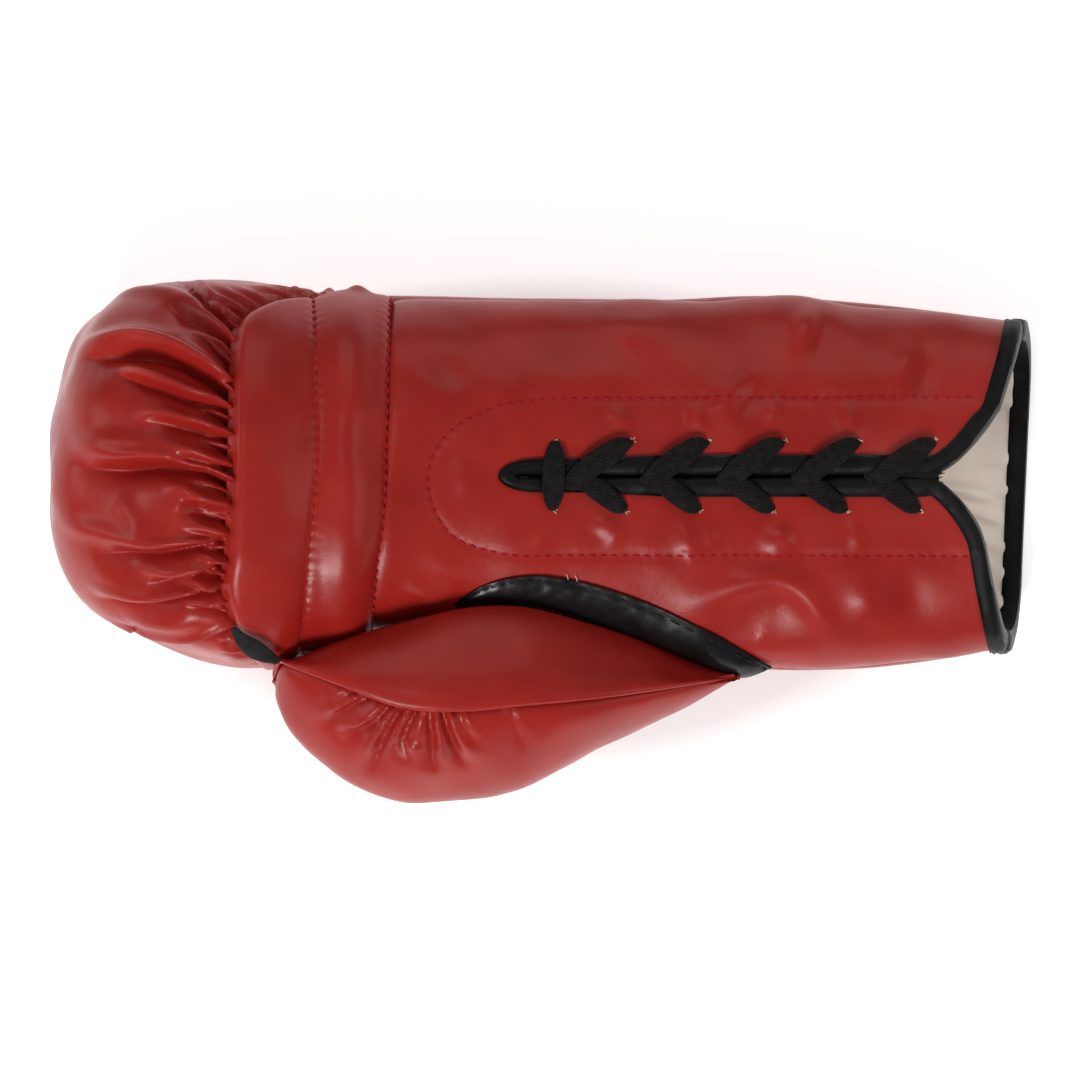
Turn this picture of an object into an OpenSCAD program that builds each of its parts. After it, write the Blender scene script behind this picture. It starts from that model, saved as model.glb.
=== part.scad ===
// A laced boxing glove, lying on its back with the palm up.
// +X runs from the fist to the cuff, +Y from the thumb's side to the little finger's side, +Z up.
// Every soft layer lies between two lofted surfaces: the outside of the glove and the hand's space.

/* [Glove] */
// Thickness of the leather
skin = 1.2; // [0.8:0.1:1.6]
// Thickness of the cotton lining
cloth = 0.9; // [0.5:0.1:1.2]
// Clearance between two layers
gap = 0.2; // [0.1:0.05:0.3]
// How boxy the palm side's cross-section is (2 is an ellipse)
palm_roundness = 2.4; // [2.2:0.1:2.8]
// How boxy the back's cross-section is
back_roundness = 3; // [2.6:0.1:3.4]

/* [Lacing] */
// Pairs of eyelets along the slit
eyelet_pairs = 6; // [4:1:6]
// Distance from one eyelet to the next on the little finger's side
eyelet_pitch = 23.5; // [21:0.5:24]
// Radius of a punched eyelet
eyelet_r = 1.9; // [1.6:0.1:2.2]
// Distance of an eyelet from the middle of the slit
eyelet_out = 10.5; // [9.5:0.5:11.5]
// Width of the flat lace
lace_w = 6.4; // [5:0.2:7]
// Thickness of the flat lace
lace_t = 1; // [0.8:0.1:1.2]

/* [Trim] */
// Width of the binding on each side of an edge
binding_w = 4.2; // [3:0.2:5]
// Thickness of the binding
binding_t = 0.7; // [0.5:0.1:0.9]
// Radius of the grip roll in the palm
grip_r = 7.5; // [7:0.5:8]

/* [Hidden] */
$fn = 32;

// Cross-sections of the outside, from the knuckles to the cuff's hem:
// [x, y of each side, lowest z, z of the widest point, highest z, x gained per mm of y]
OUTSIDE = [
    [-152, 20, 20, 50, 50, 50, 0],
    [-150.2, -1, 41, 34, 50, 68, 0],
    [-145.5, -13, 58, 22, 50, 80, 0],
    [-136, -23, 72, 10, 50, 91, 0],
    [-123, -30.5, 79, 3, 50, 99, 0],
    [-108, -36, 81.2, -3, 50, 103, 0],
    [-93.5, -38.5, 81, -4, 49, 101.5, 0],
    [-81, -38, 79.5, -4, 49, 97, 0],
    [-69.5, -35.5, 77.8, -4, 48, 93, 0],
    [-59, -32, 77, -4, 48, 92.5, 0],
    [-48, -28.5, 76.7, -4, 48, 86, 0],
    [-30, -26.5, 76.4, -4, 48, 81.5, 0],
    [0, -27.5, 75.6, -4, 47, 77, 0],
    [35, -33.5, 75.6, -3, 44, 73, 0],
    [65, -39.5, 77, 0.5, 40, 70.5, 0],
    [92, -40.2, 74.8, 2, 37, 68.5, 0.01],
    [120, -38, 72.2, 3, 36, 67, 0.03],
    [148.7, -33.5, 68.5, 3.5, 36, 65.5, 0.045]
];
// The same sections of the space that holds the hand
INSIDE = [
    [-106, 22, 22, 47, 47, 47, 0],
    [-105, 8, 36, 38, 47, 55, 0],
    [-102, -4, 48, 32, 47, 61, 0],
    [-97, -11, 55, 28, 47, 65, 0],
    [-91, -15.5, 59.5, 26, 47, 68, 0],
    [-85, -18.5, 62.5, 24.5, 47, 69.5, 0],
    [-79, -20, 64.5, 23.5, 47, 70, 0],
    [-72, -20.5, 65.5, 23, 47, 69.5, 0],
    [-65, -21, 66, 22.5, 47, 69, 0],
    [-57, -21, 66.3, 22, 47, 69, 0],
    [-46, -20.5, 66.5, 21.5, 47, 71, 0],
    [-30, -20, 66.5, 20, 47, 75, 0],
    [0, -21, 66.3, 18, 46, 72, 0],
    [35, -26.5, 67, 14.5, 43, 68, 0],
    [65, -32, 69.5, 11.5, 39.5, 65.5, 0],
    [92, -34, 68.5, 9.5, 37, 63.5, 0.01],
    [120, -32.5, 66.5, 8.8, 36, 62, 0.03],
    [148.7, -28.5, 63.5, 8.8, 36, 60.5, 0.045]
];
// The thumb's cross-sections, from its tip to its root: x, then [y, z] of the fold beside the palm,
// the seam, the outer side, the underside and the flank that faces the palm
THUMB = [
    [-83.5, -43.5, 64, -43.5, 64, -43.5, 64, -43.5, 64, -43.5, 64],
    [-81.5, -36.8, 70, -38, 75, -50.5, 66, -47, 53.5, -40.8, 60],
    [-76, -35.6, 73, -39.8, 81, -60.5, 63, -53, 41, -41.6, 53],
    [-62, -30.5, 75, -45, 87, -73, 60, -58, 29, -41, 47],
    [-44, -25.5, 76, -51.5, 89.5, -81, 57, -61, 22, -39, 44],
    [-25, -21, 76.5, -52.8, 88.5, -80.4, 55, -60, 21, -37.5, 44],
    [-6, -20.5, 73, -51.3, 85, -76.4, 54, -57, 23, -38.5, 44],
    [18, -26.5, 65, -48.9, 77, -64.8, 52, -50, 29, -37, 44],
    [43, -36, 55, -45.4, 64, -52.5, 50, -46, 38, -39.5, 45],
    [62, -42, 50, -42, 50, -42, 50, -42, 50, -42, 50]
];
// The thumb's space is its outside, drawn in towards this line and shortened
thumb_space = 0.6;
thumb_space_length = 0.76;
thumb_middle_x = -10;
thumb_space_shift = 2;
// The tip's share of the loft that the thumb's space keeps clear of the palm's gap
side_seam = 4;
last_row = len(OUTSIDE) - 1;
gather_row = 6;
stitch_row = 8;
palm_row = 10;
window_rows = [12, 13];
window_angles = [170, 200];

// The slit and the two flaps beside it. Each folds along the facing's stitches, from here to the hem.
slit_y = 20.3;
slit_half = 2.3;
slit_end = [-8.4, slit_y];
slit_mouth_x = 122;
flap_start_x = 8;
parting = 0.6;
fold_y = [42.6, -2.8];
// Plan points of the cut-away hem across each flap, from the slit to its fold
HEM = [
    [[slit_mouth_x, slit_y + slit_half], [127, 25.5], [132, 30.5], [137, 36.8], [141, fold_y[0]]],
    [[slit_mouth_x, slit_y - slit_half], [127.5, 13.5], [131.8, 8], [134.8, 2.8], [136.6, fold_y[1]]]
];
// The rest of the hem runs straight on to the side seams, which it meets here
hem_side_x = 146.5;
upper = 0;
lower = 1;

// ---- Curves and surfaces ----
function catmull(a, b, c, d, f) =
    0.5 * (2 * b + (c - a) * f + (2 * a - 5 * b + 4 * c - d) * f * f
        + (3 * b - a - 3 * c + d) * f * f * f);
function mix(a, b, f) = a + (b - a) * f;
function unit(a) = a / norm(a);
function reversed(a) = [for (i = [len(a) - 1:-1:0]) a[i]];
// The row before a loft's first, so that its end is round: the second row with its sides changed over
function swapped(r) = [r[0], r[2], r[1], r[5], r[4], r[3], r[6]];
function curve(p, f) =
    let (n = len(p) - 1, t = f * n, i = max(0, min(n - 1, floor(t))))
    catmull(p[max(i - 1, 0)], p[i], p[i + 1], p[min(i + 2, n)], t - i);
function row_at(table, t) =
    let (n = len(table) - 1, i = max(0, min(n - 1, floor(t))))
    catmull(i == 0 ? swapped(table[1]) : table[i - 1], table[i], table[i + 1],
        table[min(i + 2, n)], t - i);
function power(c, n) = sign(c) * pow(abs(c), 2 / n);
function section(r, v) =
    let (up = sin(v) > 0, n = up ? palm_roundness : back_roundness,
        y = (r[1] + r[2]) / 2 + (r[2] - r[1]) / 2 * power(cos(v), n))
    [r[0] + r[6] * (y - (r[1] + r[2]) / 2), y,
        r[4] + (up ? r[5] - r[4] : r[4] - r[3]) * power(sin(v), n)];
function flattened(p) = [p[0], p[1], max(0, p[2])];
function outside(p) = flattened(section(row_at(OUTSIDE, p[0]), p[1]));
function inside(p) = section(row_at(INSIDE, p[0]), p[1]);

// A place in the glove's wall: [row, angle], and a depth below the outside or a height above the lining
OUT = 0;
IN = 1;
function slope(f, p, d) = f(p + d) - f(p - d);
// The way from a surface towards `to`, square to the surface unless the place is a pole
function square_to(f, p, top, to) =
    let (q = [max(0.06, min(top - 0.06, p[0])), p[1]],
        n = cross(slope(f, q, [0.05, 0]), slope(f, q, [0, 0.4])), way = to - f(p))
    p[0] < 0.01 ? unit(way) : unit(n) * sign(n * way);
function wall(p, side, far) =
    let (out = function(q) outside(q), in = function(q) inside(q))
    far == 0 ? (side == OUT ? outside(p) : inside(p))
    : side == OUT ? outside(p) + square_to(out, p, last_row, inside(p)) * far
    : inside(p) + square_to(in, p, last_row, outside(p)) * far;

// [row, angle] of a plan point on the palm side
function row_of(x, y, low, high, n) =
    let (t = (low + high) / 2, r = row_at(OUTSIDE, t), here = r[0] + r[6] * (y - (r[1] + r[2]) / 2))
    n == 0 ? t : here < x ? row_of(x, y, t, high, n - 1) : row_of(x, y, low, t, n - 1);
function on_palm(q) =
    let (t = row_of(q[0], q[1], 1, last_row, 18), r = row_at(OUTSIDE, t),
        c = (q[1] - (r[1] + r[2]) / 2) / ((r[2] - r[1]) / 2))
    [t, acos(max(-1, min(1, sign(c) * pow(abs(c), palm_roundness / 2))))];

// The thumb's outside and its space, at [row, place round]: 0 is the fold and 1 the seam
function thumb_corner(r, k) = [r[0], r[1 + 2 * (k % 5)], r[2 + 2 * (k % 5)]];
function thumb_row(t) =
    let (n = len(THUMB) - 1, i = max(0, min(n - 1, floor(t))))
    catmull(THUMB[max(i - 1, 0)], THUMB[i], THUMB[i + 1], THUMB[min(i + 2, n)], t - i);
function thumb_outside(p) =
    let (r = thumb_row(p[0]), v = p[1] % 5, k = floor(v))
    catmull(thumb_corner(r, k + 4), thumb_corner(r, k), thumb_corner(r, k + 1),
        thumb_corner(r, k + 2), v - k);
function thumb_inside(p) =
    let (r = thumb_row(p[0]), a = thumb_outside(p),
        c = [for (i = [1, 2]) (r[i] + r[i + 2] + r[i + 4] + r[i + 6] + r[i + 8]) / 5])
    [thumb_middle_x + (a[0] - thumb_middle_x) * thumb_space_length,
        c[0] + thumb_space_shift + (a[1] - c[0]) * thumb_space,
        c[1] + (a[2] - c[1]) * thumb_space];
function thumb_wall(p, side, far) =
    let (a = thumb_outside(p), b = thumb_inside(p))
    side == OUT ? a + unit(b - a) * far : b + unit(a - b) * far;

// ---- Solids ----
// A closed solid between two grids of points. keep(i, j) says which cells it has.
// A closed grid's last column joins its first, and an end that is a pole has all its points in one.
module slab(top, bottom, keep, closed = false, poles = [false, false]) {
    rows = len(top);
    columns = len(top[0]);
    wide = closed ? columns : columns - 1;
    function there(i, j) =
        i >= 0 && i < rows - 1 && (closed || (j >= 0 && j < wide)) && keep(i, (j + wide) % wide);
    function at(i, j) =
        i * columns + ((i == 0 && poles[0]) || (i == rows - 1 && poles[1]) ? 0 : j % columns);
    under = rows * columns;
    function face(a, b, c) = a == b || b == c || a == c ? [] : [[a, b, c]];
    function quad(a, b, c, d) = concat(face(a, b, c), face(a, c, d));
    cells = [for (i = [0:rows - 2]) for (j = [0:wide - 1]) if (there(i, j)) [i, j]];
    faces = [for (e = cells)
        let (i = e[0], j = e[1], a = at(i, j), b = at(i + 1, j), c = at(i + 1, j + 1), d = at(i, j + 1))
        each concat(
            quad(a, b, c, d),
            quad(a + under, d + under, c + under, b + under),
            there(i - 1, j) || (i == 0 && poles[0]) ? [] : quad(a, d, d + under, a + under),
            there(i + 1, j) || (i == rows - 2 && poles[1]) ? [] : quad(b, b + under, c + under, c),
            there(i, j - 1) ? [] : quad(a, a + under, b + under, b),
            there(i, j + 1) ? [] : quad(d, c, c + under, d + under))];
    polyhedron([each [for (r = top) each r], each [for (r = bottom) each r]], faces);
}

// A layer of the glove's wall over a grid of [row, angle] places
module layer(grid, from, to, keep, closed = false, poles = [false, false]) {
    slab([for (r = grid) [for (p = r) wall(p, from[0], from[1])]],
        [for (r = grid) [for (p = r) wall(p, to[0], to[1])]], keep, closed, poles);
}

// A tube of one rectangular or round section along a path; sides(i) gives the section's points there
module sweep(rings, caps) {
    n = len(rings[0]);
    last = (len(rings) - 1) * n;
    polyhedron([for (r = rings) each r], concat(
        [for (i = [0:len(rings) - 2]) for (j = [0:n - 1])
            let (a = i * n + j, b = i * n + (j + 1) % n, c = b + n, d = a + n)
            each [[a, b, c], [a, c, d]]],
        [for (f = caps) [for (k = [len(f) - 1:-1:0]) f[k]]],
        [for (f = caps) [for (k = f) k + last]]));
}

// Layers: leather outside, cotton inside, and padding between
LEATHER = [[OUT, 0], [OUT, skin]];
PADDING = [[OUT, skin + gap], [IN, cloth + gap]];
LINING = [[IN, cloth], [IN, 0]];

function always() = function(i, j) true;
round_angles = [side_seam, 18, 34, 50, 70, 90, 110, 130, 146, 162, 180 - side_seam,
    188, 201, 215, 232, 250, 270, 290, 308, 325, 339, 352];
palm_columns = 10;
nose_rows = [0, 0.4, 0.7, 1, 1.5, 2, 3, 4, 5, gather_row];
cuff_rows = [gather_row + 1:last_row];
all_rows = concat(nose_rows, [for (t = cuff_rows) t]);
function ring_grid(rows) = [for (t = rows) [for (v = round_angles) [t, v]]];
function in_window(i, j) =
    all_rows[i] >= window_rows[0] && all_rows[i] < window_rows[1]
    && round_angles[j] >= window_angles[0] && round_angles[j] < window_angles[1];

// ---- Fist, palm and back ----
module fist_back_shell() {
    color("firebrick")
    layer(ring_grid(all_rows), LEATHER[0], LEATHER[1],
        function(i, j) (all_rows[i] < gather_row || j >= palm_columns) && !in_window(i, j),
        true, [true, false]);
}

module hand_lining() {
    color("ivory")
    layer(ring_grid(all_rows), LINING[0], LINING[1],
        function(i, j) (all_rows[i] < palm_row || j >= palm_columns) && !in_window(i, j),
        true, [true, false]);
}

module knuckle_foam() {
    color("khaki")
    layer(ring_grid(nose_rows), PADDING[0], PADDING[1], always(), true, [true, false]);
}

// The seam allowance that keeps each pad a little short of its neighbour
pad_gap = 0.05;
module back_foam() {
    rows = concat([gather_row + pad_gap], [for (t = cuff_rows) t]);
    columns = [for (j = [palm_columns:len(round_angles) - 1]) round_angles[j], 360 + side_seam];
    color("khaki")
    layer([for (t = rows) [for (v = columns) [t, v]]], PADDING[0], PADDING[1],
        function(i, j) !(rows[i] >= window_rows[0] && rows[i] < window_rows[1]
            && columns[j] >= window_angles[0] && columns[j] < window_angles[1]));
}

// Angles across the palm side, from one side seam to the other
seam_angle = 0.9;
palm_angles = [side_seam + seam_angle, 18, 34, 50, 70, 90, 110, 130, 146, 162,
    180 - side_seam - seam_angle];
function palm_grid(rows) = [for (t = rows) [for (v = palm_angles) [t, v]]];

module grip_panel() {
    color("firebrick")
    layer(palm_grid([gather_row + pad_gap, 7, stitch_row, 9, palm_row - pad_gap]),
        LEATHER[0], LEATHER[1], always());
}

module finger_pad() {
    color("khaki")
    layer(palm_grid([gather_row + pad_gap, 7, stitch_row - 0.25]), PADDING[0], PADDING[1], always());
}

grip_ends = [34, 146];
grip_depth = skin + gap + grip_r + 2;
grip_row = 9.3;
module grip_roll() {
    steps = 12;
    sides = 10;
    places = [for (i = [0:steps]) [grip_row, mix(grip_ends[0], grip_ends[1], i / steps)]];
    middles = [for (p = places) wall(p, OUT, grip_depth)];
    color("khaki")
    sweep([for (i = [0:steps])
        let (a = middles[max(0, i - 1)], b = middles[min(steps, i + 1)],
            n = unit(cross([1, 0, 0], b - a)), end = i == 0 || i == steps,
            r = end ? grip_r * 0.6 : grip_r)
        [for (k = [0:sides - 1])
            middles[i] + r * (cos(k * 360 / sides) * [1, 0, 0] + sin(k * 360 / sides) * n)]],
        [[for (k = [0:sides - 1]) k]]);
}

palm_start_x = -48;
// The palm is U-shaped. Each entry is a place on its inner edge, in plan, beside the flaps or round the
// slit's end, and one on its outer edge as [x, angle], along a side seam or the stitches by the grip roll.
function away(k) = k == upper ? parting : -parting;
function flap_line(k, s) = mix([flap_start_x, fold_y[k]], HEM[k][4], s);
function slit_round(a, r) = slit_end + r * [cos(a), sin(a)];
function beside_flap(k, side) =
    [for (s = [1, 0.75, 0.5, 0.25, 0])
        let (q = flap_line(k, s) + [s == 0 ? -parting : 0, away(k)])
        [q, [s == 1 ? hem_side_x : max(q[0], flap_start_x), side]]];
PALM_EDGES = concat(
    beside_flap(upper, 0),
    [[[flap_start_x - parting, slit_y + slit_half], [-20, 0]]],
    [for (i = [0:4]) [slit_round(90 + 45 * i, slit_half), [palm_start_x, 45 * i]]],
    [[[flap_start_x - parting, slit_y - slit_half], [-20, 180]]],
    reversed(beside_flap(lower, 180)));
palm_steps = 6;
function palm_outer(e) =
    let (v = max(side_seam + seam_angle, min(180 - side_seam - seam_angle, e[1])))
    [max(palm_row + pad_gap, row_of(e[0], slit_y, 1, last_row, 18)), v];
function u_grid() = [for (e = PALM_EDGES)
    let (a = on_palm(e[0]), b = palm_outer(e[1])) [for (i = [0:palm_steps]) mix(a, b, i / palm_steps)]];

module palm_panel() {
    color("firebrick") punched_end() layer(u_grid(), LEATHER[0], LEATHER[1], always());
}

module palm_padding() {
    color("khaki") punched_end() layer(u_grid(), PADDING[0], PADDING[1], always());
}

module palm_lining() {
    color("ivory") punched_end() layer(u_grid(), LINING[0], LINING[1], always());
}

// ---- Eyelets ----
function eyelet(k, i) =
    k == upper ? [4 + eyelet_pitch * i, slit_y + eyelet_out]
    : [3.3 + (eyelet_pitch - 0.8) * i, slit_y - eyelet_out];
function over(q, h) = wall(on_palm(q), OUT, -h);
function under(q, h) = wall(on_palm(q), IN, -h);
function up_at(q) = unit(over(q, 1) - over(q, 0));
module hole(k, i) {
    q = eyelet(k, i);
    n = up_at(q);
    translate(over(q, 4)) rotate([0, acos(n[2]), atan2(n[1], n[0])]) mirror([0, 0, 1])
        cylinder(h = 20, r = eyelet_r);
}
module punched_end() {
    difference() {
        children();
        hole(upper, 0);
        hole(lower, 0);
    }
}

// ---- Flaps ----
flap_rows = 8;
flap_columns = 6;
function flap_edge(k) = [slit_y + slit_half, slit_y - slit_half][k];
function flap_place(k, s, q) =
    let (a = mix([flap_start_x, flap_edge(k)], HEM[k][0], s),
        b = flap_line(k, s),
        bow = curve(HEM[k], q) - mix(HEM[k][0], HEM[k][4], q))
    mix(a, b, q) + bow * pow(s, 3);
function flap_grid(k) = [for (i = [0:flap_rows])
    [for (j = [0:flap_columns]) on_palm(flap_place(k, i / flap_rows, j / flap_columns))]];
module flap(k, between) {
    difference() {
        layer(k == lower ? flap_grid(k) : [for (r = flap_grid(k)) [for (j = [flap_columns:-1:0]) r[j]]],
            between[0], between[1], always());
        for (i = [1:eyelet_pairs - 1]) hole(k, i);
    }
}
module flap_leather(k) { color("firebrick") flap(k, LEATHER); }
module flap_facing(k) { color("khaki") flap(k, PADDING); }
module flap_lining(k) { color("ivory") flap(k, LINING); }

// ---- Bindings ----
// A folded tape over an edge of the wall: each place is [on the edge, further in], as [row, angle]
binding_gap = 0.3;
function fold_ring(edge, inner) =
    let (push = unit(wall(edge, OUT, 0) - wall(inner, OUT, 0)), near = binding_gap, far = near + binding_t)
    [wall(inner, OUT, -far), wall(edge, OUT, -far) + push * far,
        wall(edge, IN, -far) + push * far, wall(inner, IN, -far),
        wall(inner, IN, -near), wall(edge, IN, -near) + push * near,
        wall(edge, OUT, -near) + push * near, wall(inner, OUT, -near)];
fold_caps = [[0, 1, 6, 7], [1, 2, 5, 6], [2, 3, 4, 5]];
module binding(places) { color("black") sweep([for (e = places) fold_ring(e[0], e[1])], fold_caps); }

function inward(k) = k == upper ? 1 : -1;
// Along the slit's edge and then round the cut-away hem
function along_slit(k, f) =
    let (x = mix(flap_start_x, slit_mouth_x - 8, f), over_edge = binding_w - (f == 0 ? 0.6 : 0))
    [on_palm([x, flap_edge(k)]), on_palm([x, flap_edge(k) + inward(k) * over_edge])];
function round_hem(k, f) =
    let (p = curve(HEM[k], min(f, 0.99)),
        n = unit(curve(HEM[k], min(1, f + 0.05)) - curve(HEM[k], max(0, f - 0.05))),
        in = f == 1 ? [-1, 0] : inward(k) * [-n[1], n[0]])
    [on_palm(p), on_palm(p + binding_w * in)];
function flap_binding_places(k) =
    concat([for (i = [0:5]) along_slit(k, i / 5)], [for (i = [0:6]) round_hem(k, i / 6)]);
module flap_binding(k) { binding(k == upper ? reversed(flap_binding_places(k)) : flap_binding_places(k)); }

// Round the closed end of the slit
function slit_end_tape(k) =
    let (x = flap_start_x - parting)
    [on_palm([x, flap_edge(k)]), on_palm([x, flap_edge(k) + inward(k) * (binding_w - 0.6)])];
module slit_end_binding() {
    steps = 8;
    binding(concat(
        [slit_end_tape(upper)],
        [for (i = [0:steps]) let (a = 90 + 180 * i / steps)
            [on_palm(slit_round(a, slit_half - 0.15)), on_palm(slit_round(a, slit_half + 4))]],
        [slit_end_tape(lower)]));
}

// Round the back of the cuff, from one flap's corner to the other's
hem_rows = 0.18;
function palm_hem(e) =
    let (a = on_palm(e[0]), b = palm_outer(e[1]))
    [for (i = [0:palm_steps]) mix(a, b, max(0.03, i / palm_steps))];
module cuff_back_binding() {
    under_back = [for (j = [palm_columns + 1:len(round_angles) - 1]) round_angles[j] - 360];
    angles = concat([side_seam], reversed(under_back), [-180 - side_seam]);
    far_side = [for (p = reversed(palm_hem(PALM_EDGES[len(PALM_EDGES) - 1]))) p - [0, 360]];
    places = concat(palm_hem(PALM_EDGES[0]), [for (v = angles) [last_row, v]], far_side);
    binding(reversed([for (p = places) [p, p - [hem_rows, 0]]]));
}

// ---- Thumb ----
thumb_rows = [0, 0.4, 1, 1.5, 2, 3, 4, 5, 6, 7, 8, 8.6, 9];
// Places round the thumb: the seam is at 1, and the panel beside the palm runs from 4.4 back to the seam
thumb_seam = 1;
panel_edge = 4.4;
sew = 0.015;
shell_columns = [for (i = [0:10]) mix(thumb_seam, panel_edge, i / 10)];
panel_columns = [for (i = [0:6]) mix(panel_edge + sew, thumb_seam + 5 - sew, i / 6)];
round_columns = concat(shell_columns, [for (i = [1:5]) panel_columns[i]]);
thumb_window = [6, 8];
thumb_window_columns = [4, 4.6];
function in_thumb_window(i, v) =
    thumb_rows[i] >= thumb_window[0] && thumb_rows[i] < thumb_window[1]
    && v > thumb_window_columns[0] && v < thumb_window_columns[1];
module thumb_layer(columns, between, closed = false) {
    slab([for (t = thumb_rows) [for (v = columns) thumb_wall([t, v], between[0][0], between[0][1])]],
        [for (t = thumb_rows) [for (v = columns) thumb_wall([t, v], between[1][0], between[1][1])]],
        function(i, j) !in_thumb_window(i, columns[j]), closed, [true, true]);
}
module thumb_shell() { color("firebrick") thumb_layer(shell_columns, LEATHER); }
module thumb_foam() { color("khaki") thumb_layer(shell_columns, PADDING); }
module thumb_inner_panel() { color("firebrick") thumb_layer(panel_columns, LEATHER); }
module thumb_inner_pad() { color("khaki") thumb_layer(panel_columns, PADDING); }
module thumb_lining() { color("ivory") thumb_layer(round_columns, LINING, true); }

// The black strip over the seam that joins the thumb to the palm, as plan points of its two edges
STRIP = [
    [[-24, -16.5], [-21, -20.5]],
    [[-12, -11.8], [-8, -19.5]],
    [[3, -10.8], [5, -19.5]],
    [[22, -15], [22, -24.2]],
    [[44, -23.3], [42, -31.6]],
    [[64, -33], [60, -37.2]]
];
strip_t = 0.8;
strip_lift = 0.6;
// A plan point of the strip, this share of the way along it and across it
function strip_at(f, share) =
    mix(curve([for (e = STRIP) e[0]], f), curve([for (e = STRIP) e[1]], f), share);
module thumb_seam_strip() {
    grid = [for (i = [0:10]) [for (j = [0:2]) on_palm(strip_at(i / 10, j / 2))]];
    color("black") layer(grid, [OUT, -strip_lift - strip_t], [OUT, -strip_lift], always());
}

// The tape that ties the thumb's tip to the fist
TETHER = [[-95, -24.5, 89.4], [-91.5, -28.5, 87.6], [-88, -32, 84.8], [-85, -35.2, 81.4], [-82.5, -38, 79]];
tether_half = [3.6, 2.2, -1.2];
tether_t = 0.9;
module thumb_tether() {
    color("black")
    sweep([for (p = reversed(TETHER)) [p - tether_half, p + tether_half,
        p + tether_half + [0, 0, tether_t], p - tether_half + [0, 0, tether_t]]], [[0, 1, 2, 3]]);
}

// ---- Stitches ----
stitch_pitch = 3.4;
stitch_w = 0.8;
stitch_lift = 0.75;
// Threads over a path of [row, angle] places, lying on a surface this far above the leather
module stitches(path, count, lift = stitch_lift) {
    color("crimson")
    for (i = [0:count - 1]) {
        a = path((i + 0.12) / count);
        b = path((i + 0.88) / count);
        p = [wall(a, OUT, -lift), wall(b, OUT, -lift)];
        up = unit(p[0] - wall(a, OUT, 0));
        side = unit(cross(p[1] - p[0], up)) * stitch_w / 2;
        sweep([for (q = p) [q - side, q + side, q + side + up * 0.6, q - side + up * 0.6]], [[0, 1, 2, 3]]);
    }
}
grip_stitch_rows = [7.9, 9.85];
module grip_stitches() {
    for (t = grip_stitch_rows) stitches(function(f) [t, mix(14, 166, f)], 34);
}
// The facing's row of stitches runs round the slit, just outside the flaps' folds
FACING = [[134, 45], [112, 44.7], [87, 44.5], [62, 44.3], [37, 44.2], [12, 44], [-12, 42], [-29, 33],
    [-35, 18.5], [-28, 2], [-10, -4], [14, -4.5], [38, -4.5], [62, -4.5], [86, -4.6], [110, -4.8], [133, -5]];
facing_stitch_count = 112;
module facing_stitches() { stitches(function(f) on_palm(curve(FACING, f)), facing_stitch_count); }
module strip_stitches() {
    for (share = [0.14, 0.86])
        stitches(function(f) on_palm(strip_at(f, share)),
            26, strip_lift + strip_t + 0.35);
}

// ---- Lace ----
// A flat ribbon along points; ups are the ways its face looks there
function ribbon_ring(p, side, up, w) =
    [for (c = [[-1, -1], [1, -1], [1, 1], [-1, 1]]) p + (side * c[0] * w + up * c[1] * lace_t) / 2];
module ribbon(points, ups, widths) {
    n = len(points) - 1;
    color("black")
    sweep([for (i = [0:n])
        let (along = unit(points[min(n, i + 1)] - points[max(0, i - 1)]),
            side = unit(cross(along, ups[i])), up = unit(cross(side, along)))
        ribbon_ring(points[i], side, up, widths[i])], [[0, 1, 2, 3]]);
}

// How far the lace's middle lies from the leather or the lining, and from the binding on it
on_leather = lace_t / 2 + 0.35;
on_binding = on_leather + binding_t + gap;
neck_w = 2.2;
// A run leaves an eyelet for the slit's middle this far back, over the flap, and this far on, under it
back = [15, 12];
forward = 9;
// From the slit's middle over the flap to an eyelet, and down into it
function run_top(k, i) = let (e = eyelet(k, i), a = [e[0] - back[k], slit_y + inward(k) * 1.7])
    [for (f = [0, 0.3, 0.6, 0.86, 1]) mix(a, e, f)];
function run_under(k, i) = let (e = eyelet(k, i), b = [e[0] + forward, slit_y + inward(k) * 4])
    [for (f = [0.12, 0.4, 0.7, 1]) mix(e, b, f)];
top_heights = [on_binding, on_binding, on_binding, on_leather + 0.5, on_leather];
top_widths = [3.4, lace_w, lace_w, lace_w - 1.6, neck_w + 0.4];
under_heights = [on_leather + 0.2, on_binding + 0.3, on_binding + 0.4, on_binding + 0.4];
under_widths = [neck_w + 0.4, lace_w - 1, lace_w - 1, 3.4];
module run(k, i) {
    e = eyelet(k, i);
    q = run_top(k, i);
    r = i < eyelet_pairs - 1 ? run_under(k, i) : [];
    foot = over(e, -wall_at(e) - (len(r) > 0 ? 0.6 : 1));
    ribbon(
        concat([for (j = [0:4]) over(q[j], top_heights[j])], [over(e, -1.5), foot],
            [for (j = [0:1:len(r) - 1]) under(r[j], under_heights[j])]),
        concat([for (p = q) up_at(p)], [[0, inward(k), 0], [0, inward(k), 0]], [for (p = r) -up_at(p)]),
        concat(top_widths, [neck_w, neck_w], under_widths));
}
function wall_at(q) = norm(over(q, 0) - under(q, 0));
module lace_runs(k) { for (i = [1:eyelet_pairs - 1]) run(k, i); }

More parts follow.
